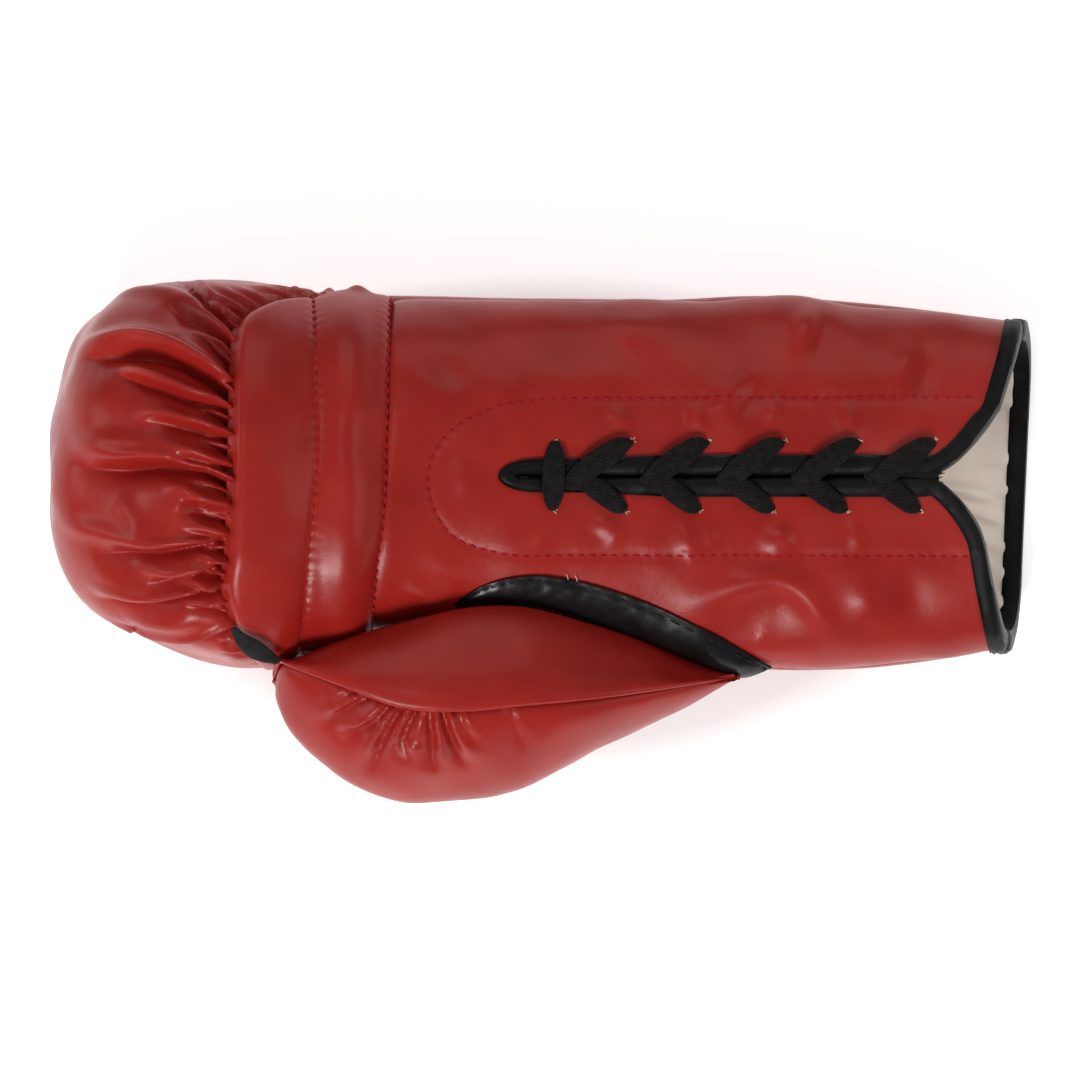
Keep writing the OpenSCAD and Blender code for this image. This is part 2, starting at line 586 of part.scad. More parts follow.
// The straight run across the closed end of the slit, and its two ends under the flaps
module lace_end_bar() {
    shares = [0, 0.12, 0.35, 0.5, 0.65, 0.88, 1];
    heights = [0, 0.6, 1, 1.1, 1, 0.6, 0];
    widths = [neck_w + 0.4, lace_w - 1.6, lace_w, lace_w, lace_w, lace_w - 1.6, neck_w + 0.4];
    a = eyelet(lower, 0);
    b = eyelet(upper, 0);
    q = [for (f = shares) mix(a, b, f)];
    ends = [for (k = [upper, lower]) [for (j = [0:3]) under(run_under(k, 0)[j], under_heights[j])]];
    turned = [for (k = [upper, lower]) [for (j = [0:3]) -up_at(run_under(k, 0)[j])]];
    ribbon(
        concat(reversed(ends[lower]), [over(a, -wall_at(a) - 0.6), over(a, -1.5)],
            [for (j = [0:6]) over(q[j], on_leather + heights[j])],
            [over(b, -1.5), over(b, -wall_at(b) - 0.6)], ends[upper]),
        concat(reversed(turned[lower]), [[0, -1, 0], [0, -1, 0]], [for (p = q) up_at(p)],
            [[0, 1, 0], [0, 1, 0]], turned[upper]),
        concat(reversed(under_widths), [neck_w, neck_w], widths, [neck_w, neck_w], under_widths));
}

// Each end of the lace is tucked back inside the cuff, under its flap
tail_points = [0, 10, 22, 36, 48];
function tail_place(k, d) = eyelet(k, eyelet_pairs - 1) + [-d - 2, inward(k) * (0.2 * d + 1)];
tail_height = 2.8 + binding_t;
module lace_tail(k) {
    q = [for (d = tail_points) tail_place(k, d)];
    ribbon([for (p = q) under(p, tail_height)], [for (p = q) up_at(p)], [for (p = q) lace_w - 1]);
}
aglet_length = 14;
aglet_r = 1.3;
module lace_aglet(k) {
    start = tail_points[4] + 0.4;
    from = under(tail_place(k, start), tail_height);
    to = under(tail_place(k, start + aglet_length), tail_height);
    d = unit(to - from);
    color("dimgray") translate(from) rotate([0, acos(d[2]), atan2(d[1], d[0])])
        cylinder(h = aglet_length, r = aglet_r);
}

fist_back_shell();
grip_panel();
palm_panel();
knuckle_foam();
back_foam();
finger_pad();
grip_roll();
palm_padding();
hand_lining();
palm_lining();
cuff_back_binding();
slit_end_binding();
thumb_seam_strip();
thumb_tether();
lace_end_bar();
grip_stitches();
facing_stitches();
strip_stitches();
thumb_shell();
thumb_inner_panel();
thumb_foam();
thumb_inner_pad();
thumb_lining();
flap_leather(upper);  // upper_flap_leather
flap_facing(upper);  // upper_flap_facing
flap_lining(upper);  // upper_flap_lining
flap_binding(upper);  // upper_flap_binding
lace_runs(upper);  // upper_lace_runs
lace_tail(upper);  // upper_lace_tail
lace_aglet(upper);  // upper_lace_aglet
flap_leather(lower);  // lower_flap_leather
flap_facing(lower);  // lower_flap_facing
flap_lining(lower);  // lower_flap_lining
flap_binding(lower);  // lower_flap_binding
lace_runs(lower);  // lower_lace_runs
lace_tail(lower);  // lower_lace_tail
lace_aglet(lower);  // lower_lace_aglet
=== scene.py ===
"""A laced boxing glove, lying on its back with the palm up. The tables and lengths are in millimetres."""
import math

import bpy
import numpy as np
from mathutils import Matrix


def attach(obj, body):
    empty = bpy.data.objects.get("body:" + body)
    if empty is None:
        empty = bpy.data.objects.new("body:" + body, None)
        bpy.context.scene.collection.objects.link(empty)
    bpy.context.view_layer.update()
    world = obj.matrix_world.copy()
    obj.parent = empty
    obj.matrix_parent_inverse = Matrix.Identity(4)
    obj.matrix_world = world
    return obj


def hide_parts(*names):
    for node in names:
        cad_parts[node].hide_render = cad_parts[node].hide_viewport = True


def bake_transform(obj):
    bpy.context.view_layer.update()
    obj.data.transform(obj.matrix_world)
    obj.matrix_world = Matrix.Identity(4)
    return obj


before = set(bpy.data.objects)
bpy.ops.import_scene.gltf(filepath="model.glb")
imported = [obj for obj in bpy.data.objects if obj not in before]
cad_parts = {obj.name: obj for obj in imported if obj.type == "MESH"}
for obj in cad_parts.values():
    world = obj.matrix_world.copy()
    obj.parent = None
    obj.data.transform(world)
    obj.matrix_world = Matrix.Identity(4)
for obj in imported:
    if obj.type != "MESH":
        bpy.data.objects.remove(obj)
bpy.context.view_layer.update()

MM = 0.001

# ---- The shape, as in the CAD ----
# Cross-sections from the nose of the fist to the cuff's hem: x, lowest y, highest y, lowest z,
# z of the side seams, highest z, and how far the section slants towards +X as y grows
OUTSIDE = [
    [-152, 20, 20, 50, 50, 50, 0],
    [-150.2, -1, 41, 34, 50, 68, 0],
    [-145.5, -13, 58, 22, 50, 80, 0],
    [-136, -23, 72, 10, 50, 91, 0],
    [-123, -30.5, 79, 3, 50, 99, 0],
    [-108, -36, 81.2, -3, 50, 103, 0],
    [-93.5, -38.5, 81, -4, 49, 101.5, 0],
    [-81, -38, 79.5, -4, 49, 97, 0],
    [-69.5, -35.5, 77.8, -4, 48, 93, 0],
    [-59, -32, 77, -4, 48, 92.5, 0],
    [-48, -28.5, 76.7, -4, 48, 86, 0],
    [-30, -26.5, 76.4, -4, 48, 81.5, 0],
    [0, -27.5, 75.6, -4, 47, 77, 0],
    [35, -33.5, 75.6, -3, 44, 73, 0],
    [65, -39.5, 77, 0.5, 40, 70.5, 0],
    [92, -40.2, 74.8, 2, 37, 68.5, 0.01],
    [120, -38, 72.2, 3, 36, 67, 0.03],
    [148.7, -33.5, 68.5, 3.5, 36, 65.5, 0.045],
]
# The same sections of the space that holds the hand
INSIDE = [
    [-106, 22, 22, 47, 47, 47, 0],
    [-105, 8, 36, 38, 47, 55, 0],
    [-102, -4, 48, 32, 47, 61, 0],
    [-97, -11, 55, 28, 47, 65, 0],
    [-91, -15.5, 59.5, 26, 47, 68, 0],
    [-85, -18.5, 62.5, 24.5, 47, 69.5, 0],
    [-79, -20, 64.5, 23.5, 47, 70, 0],
    [-72, -20.5, 65.5, 23, 47, 69.5, 0],
    [-65, -21, 66, 22.5, 47, 69, 0],
    [-57, -21, 66.3, 22, 47, 69, 0],
    [-46, -20.5, 66.5, 21.5, 47, 71, 0],
    [-30, -20, 66.5, 20, 47, 75, 0],
    [0, -21, 66.3, 18, 46, 72, 0],
    [35, -26.5, 67, 14.5, 43, 68, 0],
    [65, -32, 69.5, 11.5, 39.5, 65.5, 0],
    [92, -34, 68.5, 9.5, 37, 63.5, 0.01],
    [120, -32.5, 66.5, 8.8, 36, 62, 0.03],
    [148.7, -28.5, 63.5, 8.8, 36, 60.5, 0.045],
]
# The thumb's cross-sections, from its tip to its root: x, then [y, z] of the fold beside the palm,
# the seam, the outer side, the underside and the flank that faces the palm
THUMB = [
    [-83.5, -43.5, 64, -43.5, 64, -43.5, 64, -43.5, 64, -43.5, 64],
    [-81.5, -36.8, 70, -38, 75, -50.5, 66, -47, 53.5, -40.8, 60],
    [-76, -35.6, 73, -39.8, 81, -60.5, 63, -53, 41, -41.6, 53],
    [-62, -30.5, 75, -45, 87, -73, 60, -58, 29, -41, 47],
    [-44, -25.5, 76, -51.5, 89.5, -81, 57, -61, 22, -39, 44],
    [-25, -21, 76.5, -52.8, 88.5, -80.4, 55, -60, 21, -37.5, 44],
    [-6, -20.5, 73, -51.3, 85, -76.4, 54, -57, 23, -38.5, 44],
    [18, -26.5, 65, -48.9, 77, -64.8, 52, -50, 29, -37, 44],
    [43, -36, 55, -45.4, 64, -52.5, 50, -46, 38, -39.5, 45],
    [62, -42, 50, -42, 50, -42, 50, -42, 50, -42, 50],
]
# How gradually the underside flattens where the glove rests on the table
FLAT_BLEND = 2
PALM_ROUNDNESS = 2.4
BACK_ROUNDNESS = 3.0
# The angles of the side seams: the little finger's side and the thumb's
SIDE = math.radians(4.9)
FAR_SIDE = math.pi - SIDE
ROUND_TO_SIDE = 2 * math.pi + SIDE
SLIT_Y = 20.3
SLIT_HALF = 2.3
SLIT_END_X = -8.4
FLAP_START_X = 8
FOLD_Y = {"upper": 42.6, "lower": -2.8}
INWARD = {"upper": 1, "lower": -1}
# Plan points of the cut-away hem across each flap, from the slit to its fold
HEM = {
    "upper": [(122, 22.6), (127, 25.5), (132, 30.5), (137, 36.8), (141, 42.6)],
    "lower": [(122, 18.0), (127.5, 13.5), (131.8, 8), (134.8, 2.8), (136.6, -2.8)],
}
HEM_SIDE_X = 146.5
# How fast the hem turns away from its line across the flap, beyond each fold
HEM_CURVE = {"upper": 1.8, "lower": 1.2}

# ---- Lines on the leather ----
# The seam that gathers the fist's leather: degrees round the glove, and x
GATHER = [(0, -57), (5, -61), (12, -68), (19, -74.6), (32, -86.3), (40, -92), (52, -93.8), (90, -94.6),
          (108, -95.5), (124, -96.9), (145, -93.4), (160, -90), (180, -86)]
# The seam's usual x along the front, near enough to find the angle of a y there
FRONT_SEAM_X = -94.5
# Where the fist's leather turns from close to widely spaced rows, under the glove
UNDER_SEAM_X = -94.0
# The two stitched rows of the grip: y and x
ROW_1 = [(-38, -74.5), (-27.7, -73.6), (-6, -72), (18.8, -69.3), (43.6, -69), (76, -70.5), (80, -71)]
ROW_2 = [(-38, -53), (-24.6, -52.2), (-9.1, -50.4), (12.6, -48.2), (43.6, -47.3), (76.7, -46.7),
         (80, -46.7)]
# The facing's stitches, round the slit
FACING = [(134, 45), (112, 44.7), (87, 44.5), (62, 44.3), (37, 44.2), (12, 44), (-12, 42), (-29, 33),
          (-35, 18.5), (-28, 2), (-10, -4), (14, -4.5), (38, -4.5), (62, -4.5), (86, -4.6), (110, -4.8),
          (133, -5)]


# ---- Curves and surfaces ----
def catmull_rom(a, b, c, d, f):
    """The curve from b to c, at the share f of the way"""
    return 0.5 * (2 * b + (c - a) * f + (2 * a - 5 * b + 4 * c - d) * f * f
                  + (3 * b - a - 3 * c + d) * f ** 3)


def spline(points, t):
    """The smooth curve through points, at t from 0 to their number less one"""
    p = np.asarray(points, float)
    last = len(p) - 1
    t = np.asarray(t, float)
    i = np.clip(np.floor(t).astype(int), 0, last - 1)
    near = p[np.maximum(i - 1, 0)], p[i], p[i + 1], p[np.minimum(i + 2, last)]
    return catmull_rom(*near, (t - i)[..., None])


def lengths(path):
    """How far along a path each of its points is"""
    return np.concatenate([[0], np.cumsum(np.linalg.norm(np.diff(path, axis=0), axis=1))])


def evenly(points, step):
    """Points about this far apart along the spline through points"""
    fine = spline(points, np.linspace(0, len(points) - 1, 40 * len(points)))
    run = lengths(fine)
    count = max(2, int(round(run[-1] / step)) + 1)
    at = np.linspace(0, run[-1], count)
    return np.stack([np.interp(at, run, fine[:, k]) for k in range(fine.shape[1])], axis=1)


def alike(a, b):
    """Two numbers or arrays, as float arrays of one shape"""
    return np.broadcast_arrays(np.asarray(a, float), np.asarray(b, float))


def mix(a, b, f):
    return a + (b - a) * f


def unit(a):
    return a / np.maximum(np.linalg.norm(a, axis=-1, keepdims=True), 1e-9)


def smooth(x, low, high):
    """A soft step from 0 at x = low to 1 at x = high"""
    f = np.clip((x - low) / (high - low), 0, 1)
    return f * f * (3 - 2 * f)


def bell(x, width):
    """A rounded peak of 1 at x = 0"""
    return np.exp(-(x / width) ** 2)


def smooth_max(a, b, k):
    """The larger of a and b, with the corner between them rounded over k"""
    f = np.clip(0.5 + 0.5 * (a - b) / k, 0, 1)
    return mix(b, a, f) + k * f * (1 - f)


def table_line(table, at):
    """A smooth value from a table of (place, value)"""
    p = np.asarray(table, float)
    fine = spline(p, np.linspace(0, len(p) - 1, 30 * len(p)))
    return np.interp(at, fine[:, 0], fine[:, 1])


class Loft:
    """A rounded tube through cross-sections. t counts the sections, and v is the angle round them"""

    def __init__(self, table):
        second = table[1]
        before = [second[k] for k in (0, 2, 1, 5, 4, 3, 6)]
        self.rows = np.array([before] + table, float)
        self.last = len(table) - 1
        self.t_list = np.linspace(0, self.last, 1500)
        self.x_list = self.row(self.t_list)[:, 0]

    def row(self, t):
        """The numbers of the section at t"""
        return spline(self.rows, np.asarray(t, float) + 1)

    def point(self, t, v):
        t, v = alike(t, v)
        r = self.row(t)
        middle = (r[..., 1] + r[..., 2]) / 2
        c, s = np.cos(v), np.sin(v)
        power = 2 / np.where(s > 0, PALM_ROUNDNESS, BACK_ROUNDNESS)
        y = middle + (r[..., 2] - middle) * np.sign(c) * np.abs(c) ** power
        rise = np.where(s > 0, r[..., 5] - r[..., 4], r[..., 4] - r[..., 3])
        z = r[..., 4] + rise * np.sign(s) * np.abs(s) ** power
        return np.stack([r[..., 0] + r[..., 6] * (y - middle), y, smooth_max(z, 0, FLAT_BLEND)], axis=-1)

    def normal(self, t, v):
        t, v = alike(t, v)
        t = np.clip(t, 0.06, self.last - 0.03)
        along = self.point(t + 0.03, v) - self.point(t - 0.03, v)
        around = self.point(t, v + 0.01) - self.point(t, v - 0.01)
        return unit(np.cross(around, along))

    def t_of(self, x, y=SLIT_Y):
        """The section at plan point x, y"""
        t = np.interp(x, self.x_list, self.t_list)
        for _ in range(3):
            r = self.row(t)
            t = np.interp(x - r[..., 6] * (y - (r[..., 1] + r[..., 2]) / 2), self.x_list, self.t_list)
        return t

    def v_of(self, t, y, roundness=PALM_ROUNDNESS):
        """The angle of a given y, on the palm side or, turned over, on the back"""
        r = self.row(t)
        c = (y - (r[..., 1] + r[..., 2]) / 2) / ((r[..., 2] - r[..., 1]) / 2)
        c = np.clip(c, -1, 1)
        return np.arccos(np.sign(c) * np.abs(c) ** (roundness / 2))

    def place(self, x, y):
        """The section and the angle of plan points on the palm side"""
        x, y = alike(x, y)
        t = self.t_of(x, y)
        return t, self.v_of(t, y)

    def angles(self, t, start, stop, count):
        """Angles spaced evenly along the section at t"""
        v = np.linspace(start, stop, 2000)
        run = lengths(self.point(np.full(len(v), t), v))
        return np.interp(np.linspace(0, run[-1], count), run, v)


outside = Loft(OUTSIDE)
inside = Loft(INSIDE)


def gather_x(v):
    """The x of the gather seam at the angle v"""
    return table_line(GATHER, np.degrees(v))


def row_t(table, v):
    """The section at which a row of stitches crosses the angle v"""
    t = np.full(np.shape(v), 9.0)
    for _ in range(6):
        t = outside.t_of(table_line(table, outside.point(t, v)[..., 1]))
    return t


# ---- Relief: creases, ridges, rows of stitches and soft unevenness ----
class Line:
    """A polyline on a surface, for distances from it"""

    def __init__(self, path):
        self.path = np.asarray(path, float)
        self.run = lengths(self.path)
        self.length = self.run[-1]
        self.low = self.path.min(axis=0)
        self.high = self.path.max(axis=0)

    def near(self, points, reach):
        """Which points are near, and for each its distance, how far along it is, and its offset"""
        inside_box = np.all((points > self.low - reach) & (points < self.high + reach), axis=1)
        which = np.nonzero(inside_box)[0]
        p = points[which]
        best = np.full(len(which), 1e9)
        run = np.zeros(len(which))
        offset = np.zeros((len(which), 3))
        for k in range(len(self.path) - 1):
            a = self.path[k]
            step = self.path[k + 1] - a
            length = np.linalg.norm(step)
            f = np.clip((p - a) @ step / (length * length), 0, 1)
            away = p - (a + f[:, None] * step)
            distance = np.linalg.norm(away, axis=1)
            nearer = distance < best
            best[nearer] = distance[nearer]
            run[nearer] = self.run[k] + f[nearer] * length
            offset[nearer] = away[nearer]
        return which, best, run, offset


# The rounded lip above a crease, as a share of the crease's depth
LIP = 0.42
# How broad a crease's sides are, as shares of its width: the one that faces +Y, and the other
STEEP_SIDE = 0.7
GENTLE_SIDE = 1.15
STITCH_PITCH = 3.4


def soft(distance, radius):
    """The distance from a line, with the sharp bottom of its valley rounded off"""
    return np.sqrt(distance ** 2 + radius ** 2) - radius


class Crease(Line):
    """A sharp valley. Its far end, first in its path, fades out; its near end stays open"""

    def __init__(self, path, depth, width, fade=0.45, both=False, gentle=GENTLE_SIDE):
        super().__init__(path)
        self.depth, self.width, self.fade, self.both, self.gentle = depth, width, fade, both, gentle

    def height(self, points):
        which, distance, run, offset = self.near(points, 5 * max(self.width))
        f = run / self.length
        width = mix(self.width[0], self.width[1], f)
        north = offset[:, 1] > 0
        slope = width * np.where(north, STEEP_SIDE, mix(self.gentle, GENTLE_SIDE, f * f))
        rounded = soft(distance, 0.3)
        taper = smooth(f, 0, self.fade)
        if self.both:
            taper = taper * smooth(1 - f, 0, self.fade)
        lip = np.where(north, bell(distance - 1.5 * width, width), 0) - bell(1.5, 1) * north
        depth = self.depth * taper
        return which, depth * np.exp(-rounded / slope), LIP * depth * np.maximum(lip, 0)


class Ridge(Line):
    """A soft rounded ridge that fades out at its ends"""

    def __init__(self, path, height, width=4.0, fade=0.35, open_end=False):
        super().__init__(path)
        self.top, self.width, self.fade, self.open_end = height, width, fade, open_end

    def height(self, points):
        which, distance, run, _ = self.near(points, 2.6 * self.width)
        f = run / self.length
        taper = smooth(1 - f, 0, self.fade)
        if not self.open_end:
            taper = smooth(f, 0, self.fade) * taper
        return which, self.top * taper * bell(distance, self.width)


class StitchRow(Line):
    """The groove that a row of stitches pulls into the leather, with a pucker at each stitch"""

    def __init__(self, path, depth, width, broad, pucker):
        super().__init__(path)
        self.depth, self.width, self.broad, self.pucker = depth, width, broad, pucker

    def height(self, points):
        which, distance, run, _ = self.near(points, 16)
        groove = -self.depth * np.exp(-soft(distance, 0.2) / self.width)
        broad = -self.broad * bell(distance, 7)
        wave = np.cos(2 * np.pi * run / STITCH_PITCH)
        pucker = -self.pucker * (0.6 + 0.4 * wave) * wave * np.exp(-distance / 1.5)
        return which, groove + broad + pucker


NOISE_WAVES = 9


def noise(points, wavelength, seed):
    """Smooth unevenness from -1 to 1, the same each run"""
    draws = np.random.default_rng(seed)
    total = np.zeros(len(points))
    for _ in range(NOISE_WAVES):
        way = unit(draws.normal(size=3))
        scale = draws.uniform(0.7, 1.4) * 2 * np.pi / wavelength
        total += np.sin(points @ way * scale + draws.uniform(0, 2 * np.pi))
    return total / math.sqrt(NOISE_WAVES)


def add_up(points, creases, ridges):
    """Height from all creases, the deepest counting most, and from all ridges"""
    deep = np.zeros(len(points))
    high = np.zeros(len(points))
    for c in creases:
        which, depth, lip = c.height(points)
        deep[which] += depth ** 3
        high[which] += lip
    for r in ridges:
        which, height = r.height(points)
        high[which] += height
    return high - np.cbrt(deep)


# How far apart the points of a crease's or a fold's path are
PATH_STEP = 2.5


def on_palm(plan):
    """A path on the palm side over plan points"""
    return outside.point(*outside.place(*evenly(plan, PATH_STEP).T))


# Creases of the fist's leather in plan, far end first: points, depth as a share of CREASE_DEPTH, and
# widths at the far end and the seam. SLACK_SIDE is how broad their sides away from +Y start
CREASE_DEPTH = 1.55
SLACK_SIDE = 2.2
FIST_CREASES = [
    ([(-118, 73.5), (-110, 71.5), (-103, 68), (-97, 63.5), (-94.3, 61)], 3.2, (3.0, 1.3)),
    ([(-143, 55.3), (-137, 57), (-128, 59.3), (-119, 58.3), (-110, 55), (-104, 51.5), (-98, 47.5),
      (-94.5, 44.5)], 4.8, (3.4, 1.5)),
    ([(-137, 54), (-130.3, 51.8), (-124.2, 49.6), (-116.4, 46.8), (-108.1, 43.5), (-102.6, 42.4),
      (-97.6, 41.0), (-94.3, 39.5)], 3.6, (2.8, 1.3)),
    ([(-144.7, 24.1), (-138.6, 22.4), (-130.3, 21.9), (-122, 22.7), (-113.7, 22.4), (-107.6, 21.3),
      (-102.1, 20.5), (-96, 17.5)], 4.6, (3.4, 1.4)),
    ([(-116.4, 25.8), (-107.6, 25.2), (-96.5, 21.9)], 2.4, (2.0, 1.2)),
    ([(-138.6, -3.3), (-131.9, -3.8), (-125.3, -4.4), (-119.2, -4.4), (-108, -2.6), (-98, -0.6)], 3.4,
     (3.2, 1.3)),
    ([(-124.2, -13.2), (-116.4, -13), (-108.1, -11.6), (-102.1, -9.4), (-98.2, -8.3)], 3.2, (2.8, 1.3)),
    ([(-139.1, -16.6), (-131.9, -18.8), (-124.2, -19.9), (-116.4, -19.9), (-108.1, -18.2),
      (-102.1, -16.6), (-97.6, -14.9)], 3.8, (3.2, 1.3)),
    ([(-134.2, -22.6), (-127.5, -27.6), (-119.8, -31), (-113.1, -31.5), (-106.5, -31.2), (-101, -29.8),
      (-95.4, -28.2)], 3.4, (3.0, 1.3)),
    ([(-112, 12.5), (-108, 11), (-103, 9.6), (-97, 8)], 3.4, (2.2, 1.4)),
    ([(-126, 36), (-117, 36.5), (-108, 34.5), (-101, 33), (-95, 31.4)], 2.6, (2.6, 1.2)),
]
FIST_RIDGES = [
    ([(-131.4, 75.6), (-122, 76.7), (-113.1, 76.1), (-107.6, 74.8), (-102.1, 72.3),
      (-96.5, 68.4)], 1.6, 3.2),
    ([(-144.1, 58.8), (-138.6, 61), (-128.6, 64), (-120.9, 63.2), (-113.1, 61), (-107, 58.8),
      (-102.1, 55.5), (-96.5, 50.8)], 2.2, 3.4),
    ([(-131.9, 56.2), (-126.4, 54), (-119.8, 50.7), (-113.1, 47.9)], 0.8, 2.2),
    ([(-145.8, 28.5), (-139.7, 30), (-131.9, 30.2), (-122, 30.1), (-113.1, 29), (-107.6, 28),
      (-102.1, 26.5), (-96.5, 24.5)], 2.0, 3.4),
    ([(-148, 6.5), (-139.7, 4), (-131.9, 2.6), (-124.2, 1.5), (-116.4, 1.2), (-108.1, 1.6)], 1.8, 3.2),
    ([(-128.6, -8.8), (-122, -8), (-112, -7.2), (-104, -5.4)], 1.2, 2.6),
    ([(-134, -12), (-126, -14.8), (-116, -15.4), (-106, -13.8)], 1.0, 2.4),
    ([(-131, -22.9), (-124, -25.4), (-114, -25.8), (-104, -23.6)], 1.4, 3.0),
    ([(-132, 14), (-126, 7), (-120, 1.6)], 1.3, 3.6),
    ([(-118, 17.5), (-108, 16.5), (-98, 14.4)], 1.3, 2.2),
    ([(-112, 38.5), (-104, 37), (-97, 35.4)], 0.9, 2.0),
]
# Where on the gather seam the short pleats between the long creases start
PLEATS = [65.6, 57.3, 52.9, 48.5, 36.3, 31, 26.9, 21.8, 17.3, 13.6, 9.4, 5, 0.6, -3.8, -8.3, -12.5, -17,
          -21, -24.5]
# Soft folds of the palm and the cuff: points, height as a share of FOLD_HEIGHT (below zero for a
# valley), width
FOLD_HEIGHT = 1.5
PALM_FOLDS = [
    ([(40.8, -23.4), (55.6, -15.7), (69.6, -11.5), (79.5, -14.5), (86.5, -23.4), (94, -35.2)], 1.9, 4.4),
    ([(48, -33), (60, -26), (70, -24), (79, -33)], -1.3, 8.0),
    ([(21.2, 8.8), (19.8, 4.5), (18.1, 0.5)], 0.7, 3.5),
    ([(42.6, 8.8), (45, 2), (47, -3.9), (48, -10)], 1.0, 4.0),
    ([(68.7, 6.7), (72.5, -0.5), (77, -7.3)], 1.0, 4.0),
    ([(99.7, -6), (100.5, -15), (102.8, -30)], 1.1, 5.5),
    ([(112, -4), (114, -16), (118, -30)], -0.9, 6.0),
    ([(65.3, 56.1), (57.8, 45.4), (51.3, 36.7)], 1.2, 4.5),
    ([(72, 54), (65, 44), (59, 35)], -0.9, 4.0),
    ([(83.5, 73.3), (81.5, 66), (79.2, 56.4)], 1.3, 4.0),
    ([(90, 72), (87, 62), (84, 52)], -0.9, 4.0),
    ([(115.8, 64.8), (112.5, 54), (108.3, 43.4)], 1.2, 4.5),
    ([(123, 63), (119, 52), (116, 42)], -0.8, 4.5),
    ([(-20, 50), (-4, 58), (20, 62)], -0.8, 9.0),
    ([(10, 69), (30, 66), (50, 68)], 0.9, 6.0),
    ([(-40, 60), (-28, 52), (-20, 46)], -0.6, 5.0),
    ([(-42, 2), (-30, -8), (-14, -12)], 0.8, 5.0),
    ([(-44, -12), (-36, -16), (-24, -17)], 1.2, 3.2),
    ([(-26, 12), (-24, 20), (-27, 28)], 0.6, 3.5),
    ([(4, 8), (0, 2), (-4, -3)], 0.6, 2.6),
    ([(26, 7.5), (23, 2), (19, -3)], 0.7, 2.2),
    ([(51, 7.5), (52, 2), (53.5, -4)], 0.6, 2.2),
    ([(73, 8), (75.5, 2), (79, -5)], 0.7, 2.4),
    ([(96, 8), (97, 2), (99, -4)], 0.6, 2.4),
    ([(28, 33.5), (24, 38), (21, 43)], 0.6, 2.4),
    ([(52, 33.5), (48, 38), (47, 44)], 0.7, 2.4),
    ([(75, 34), (72, 39), (72, 46)], 0.6, 2.4),
    ([(98, 34), (95, 39), (94, 45)], 0.6, 2.4),
]
# How far the pleats turn from the glove's length: y, degrees
PLEAT_TURN = [-30, 0, 20, 45, 70], [6, 10, 16, 34, 44]
# Across the side seam behind the fist: x, height, width
SIDE_PUCKERS = [(-69.2, -0.8, 1.4), (-66, 1.2, 1.9), (-62, -1.0, 1.8), (-57, 1.5, 3.2), (-51.5, -0.6, 2)]


def plain_pleats():
    """The short pleats along the front of the gather seam"""
    draws = np.random.default_rng(4)
    pleats = []
    for y in PLEATS:
        x = gather_x(outside.v_of(outside.t_of(FRONT_SEAM_X), y))
        turn = math.radians(np.interp(y, *PLEAT_TURN))
        length = draws.uniform(13, 25)
        bend = draws.uniform(-0.12, 0.12) * length
        plan = []
        for f in (1, 0.5, 0.02):
            sideways = bend * math.sin(math.pi * f)
            plan.append((x - length * f * math.cos(turn) - sideways * math.sin(turn),
                         y + length * f * math.sin(turn) - sideways * math.cos(turn)))
        pleats.append(Crease(on_palm(plan), draws.uniform(3.2, 4.6), (2.6, 1.1), fade=0.75))
    return pleats


def corner_pleats():
    """Pleats where the gather seam turns along the little finger's side and under the tether"""
    draws = np.random.default_rng(9)
    pleats = []
    for degrees in list(np.arange(41, 3, -4.1)) + [150, 158, 166]:
        v = math.radians(degrees)
        t = float(outside.t_of(gather_x(v)))
        length = draws.uniform(2.2, 3.2) if degrees < 90 else 1.6
        turn = (-0.22 if degrees < 90 else 0.05) * draws.uniform(0.7, 1.3)
        share = np.array([1, 0.66, 0.33, 0.02])
        path = outside.point(t - length * 0.45 * share, v + turn * share)
        pleats.append(Crease(path, draws.uniform(2.4, 3.4), (2.4, 1.0), fade=0.7))
    return pleats


def under_creases():
    """Long slack folds round the nose, on the side that lies on the table"""
    draws = np.random.default_rng(12)
    folds = []
    for degrees in (-12, -33, -58, -84, -112, -138, -160):
        v = math.radians(degrees + draws.uniform(-5, 5))
        share = np.linspace(0, 1, 8)
        t = mix(1.6, draws.uniform(4.6, 6.2), share)
        path = outside.point(t, v + draws.uniform(-0.12, 0.12) * share)
        folds.append(Crease(path, draws.uniform(0.8, 1.5), (4.5, 3.2), fade=0.5, both=True))
    return folds


def seam_path():
    """The gather seam, and the side seams from its ends to the hem"""
    v = np.linspace(SIDE, FAR_SIDE, 90)
    front = outside.point(outside.t_of(gather_x(v)), v)
    upper_t = np.linspace(outside.last, outside.t_of(gather_x(SIDE)), 40)
    lower_t = np.linspace(outside.t_of(gather_x(FAR_SIDE)), outside.last, 50)
    return np.concatenate([outside.point(upper_t, np.full(40, SIDE))[:-1], front,
                           outside.point(lower_t, np.full(50, FAR_SIDE))[1:]])


def row_path(table):
    """A row of stitches across the palm side, from its table of y and x"""
    y = np.linspace(table[0][0], table[-1][0], 60)
    return outside.point(*outside.place(table_line(table, y), y))


def side_puckers():
    """Two bulges of the back's leather beside the side seam, and the dips between them"""
    v = np.linspace(SIDE + 0.05, -0.5, 5)
    return [Ridge(outside.point(float(outside.t_of(x)), v), height, width, fade=0.02, open_end=True)
            for x, height, width in SIDE_PUCKERS]


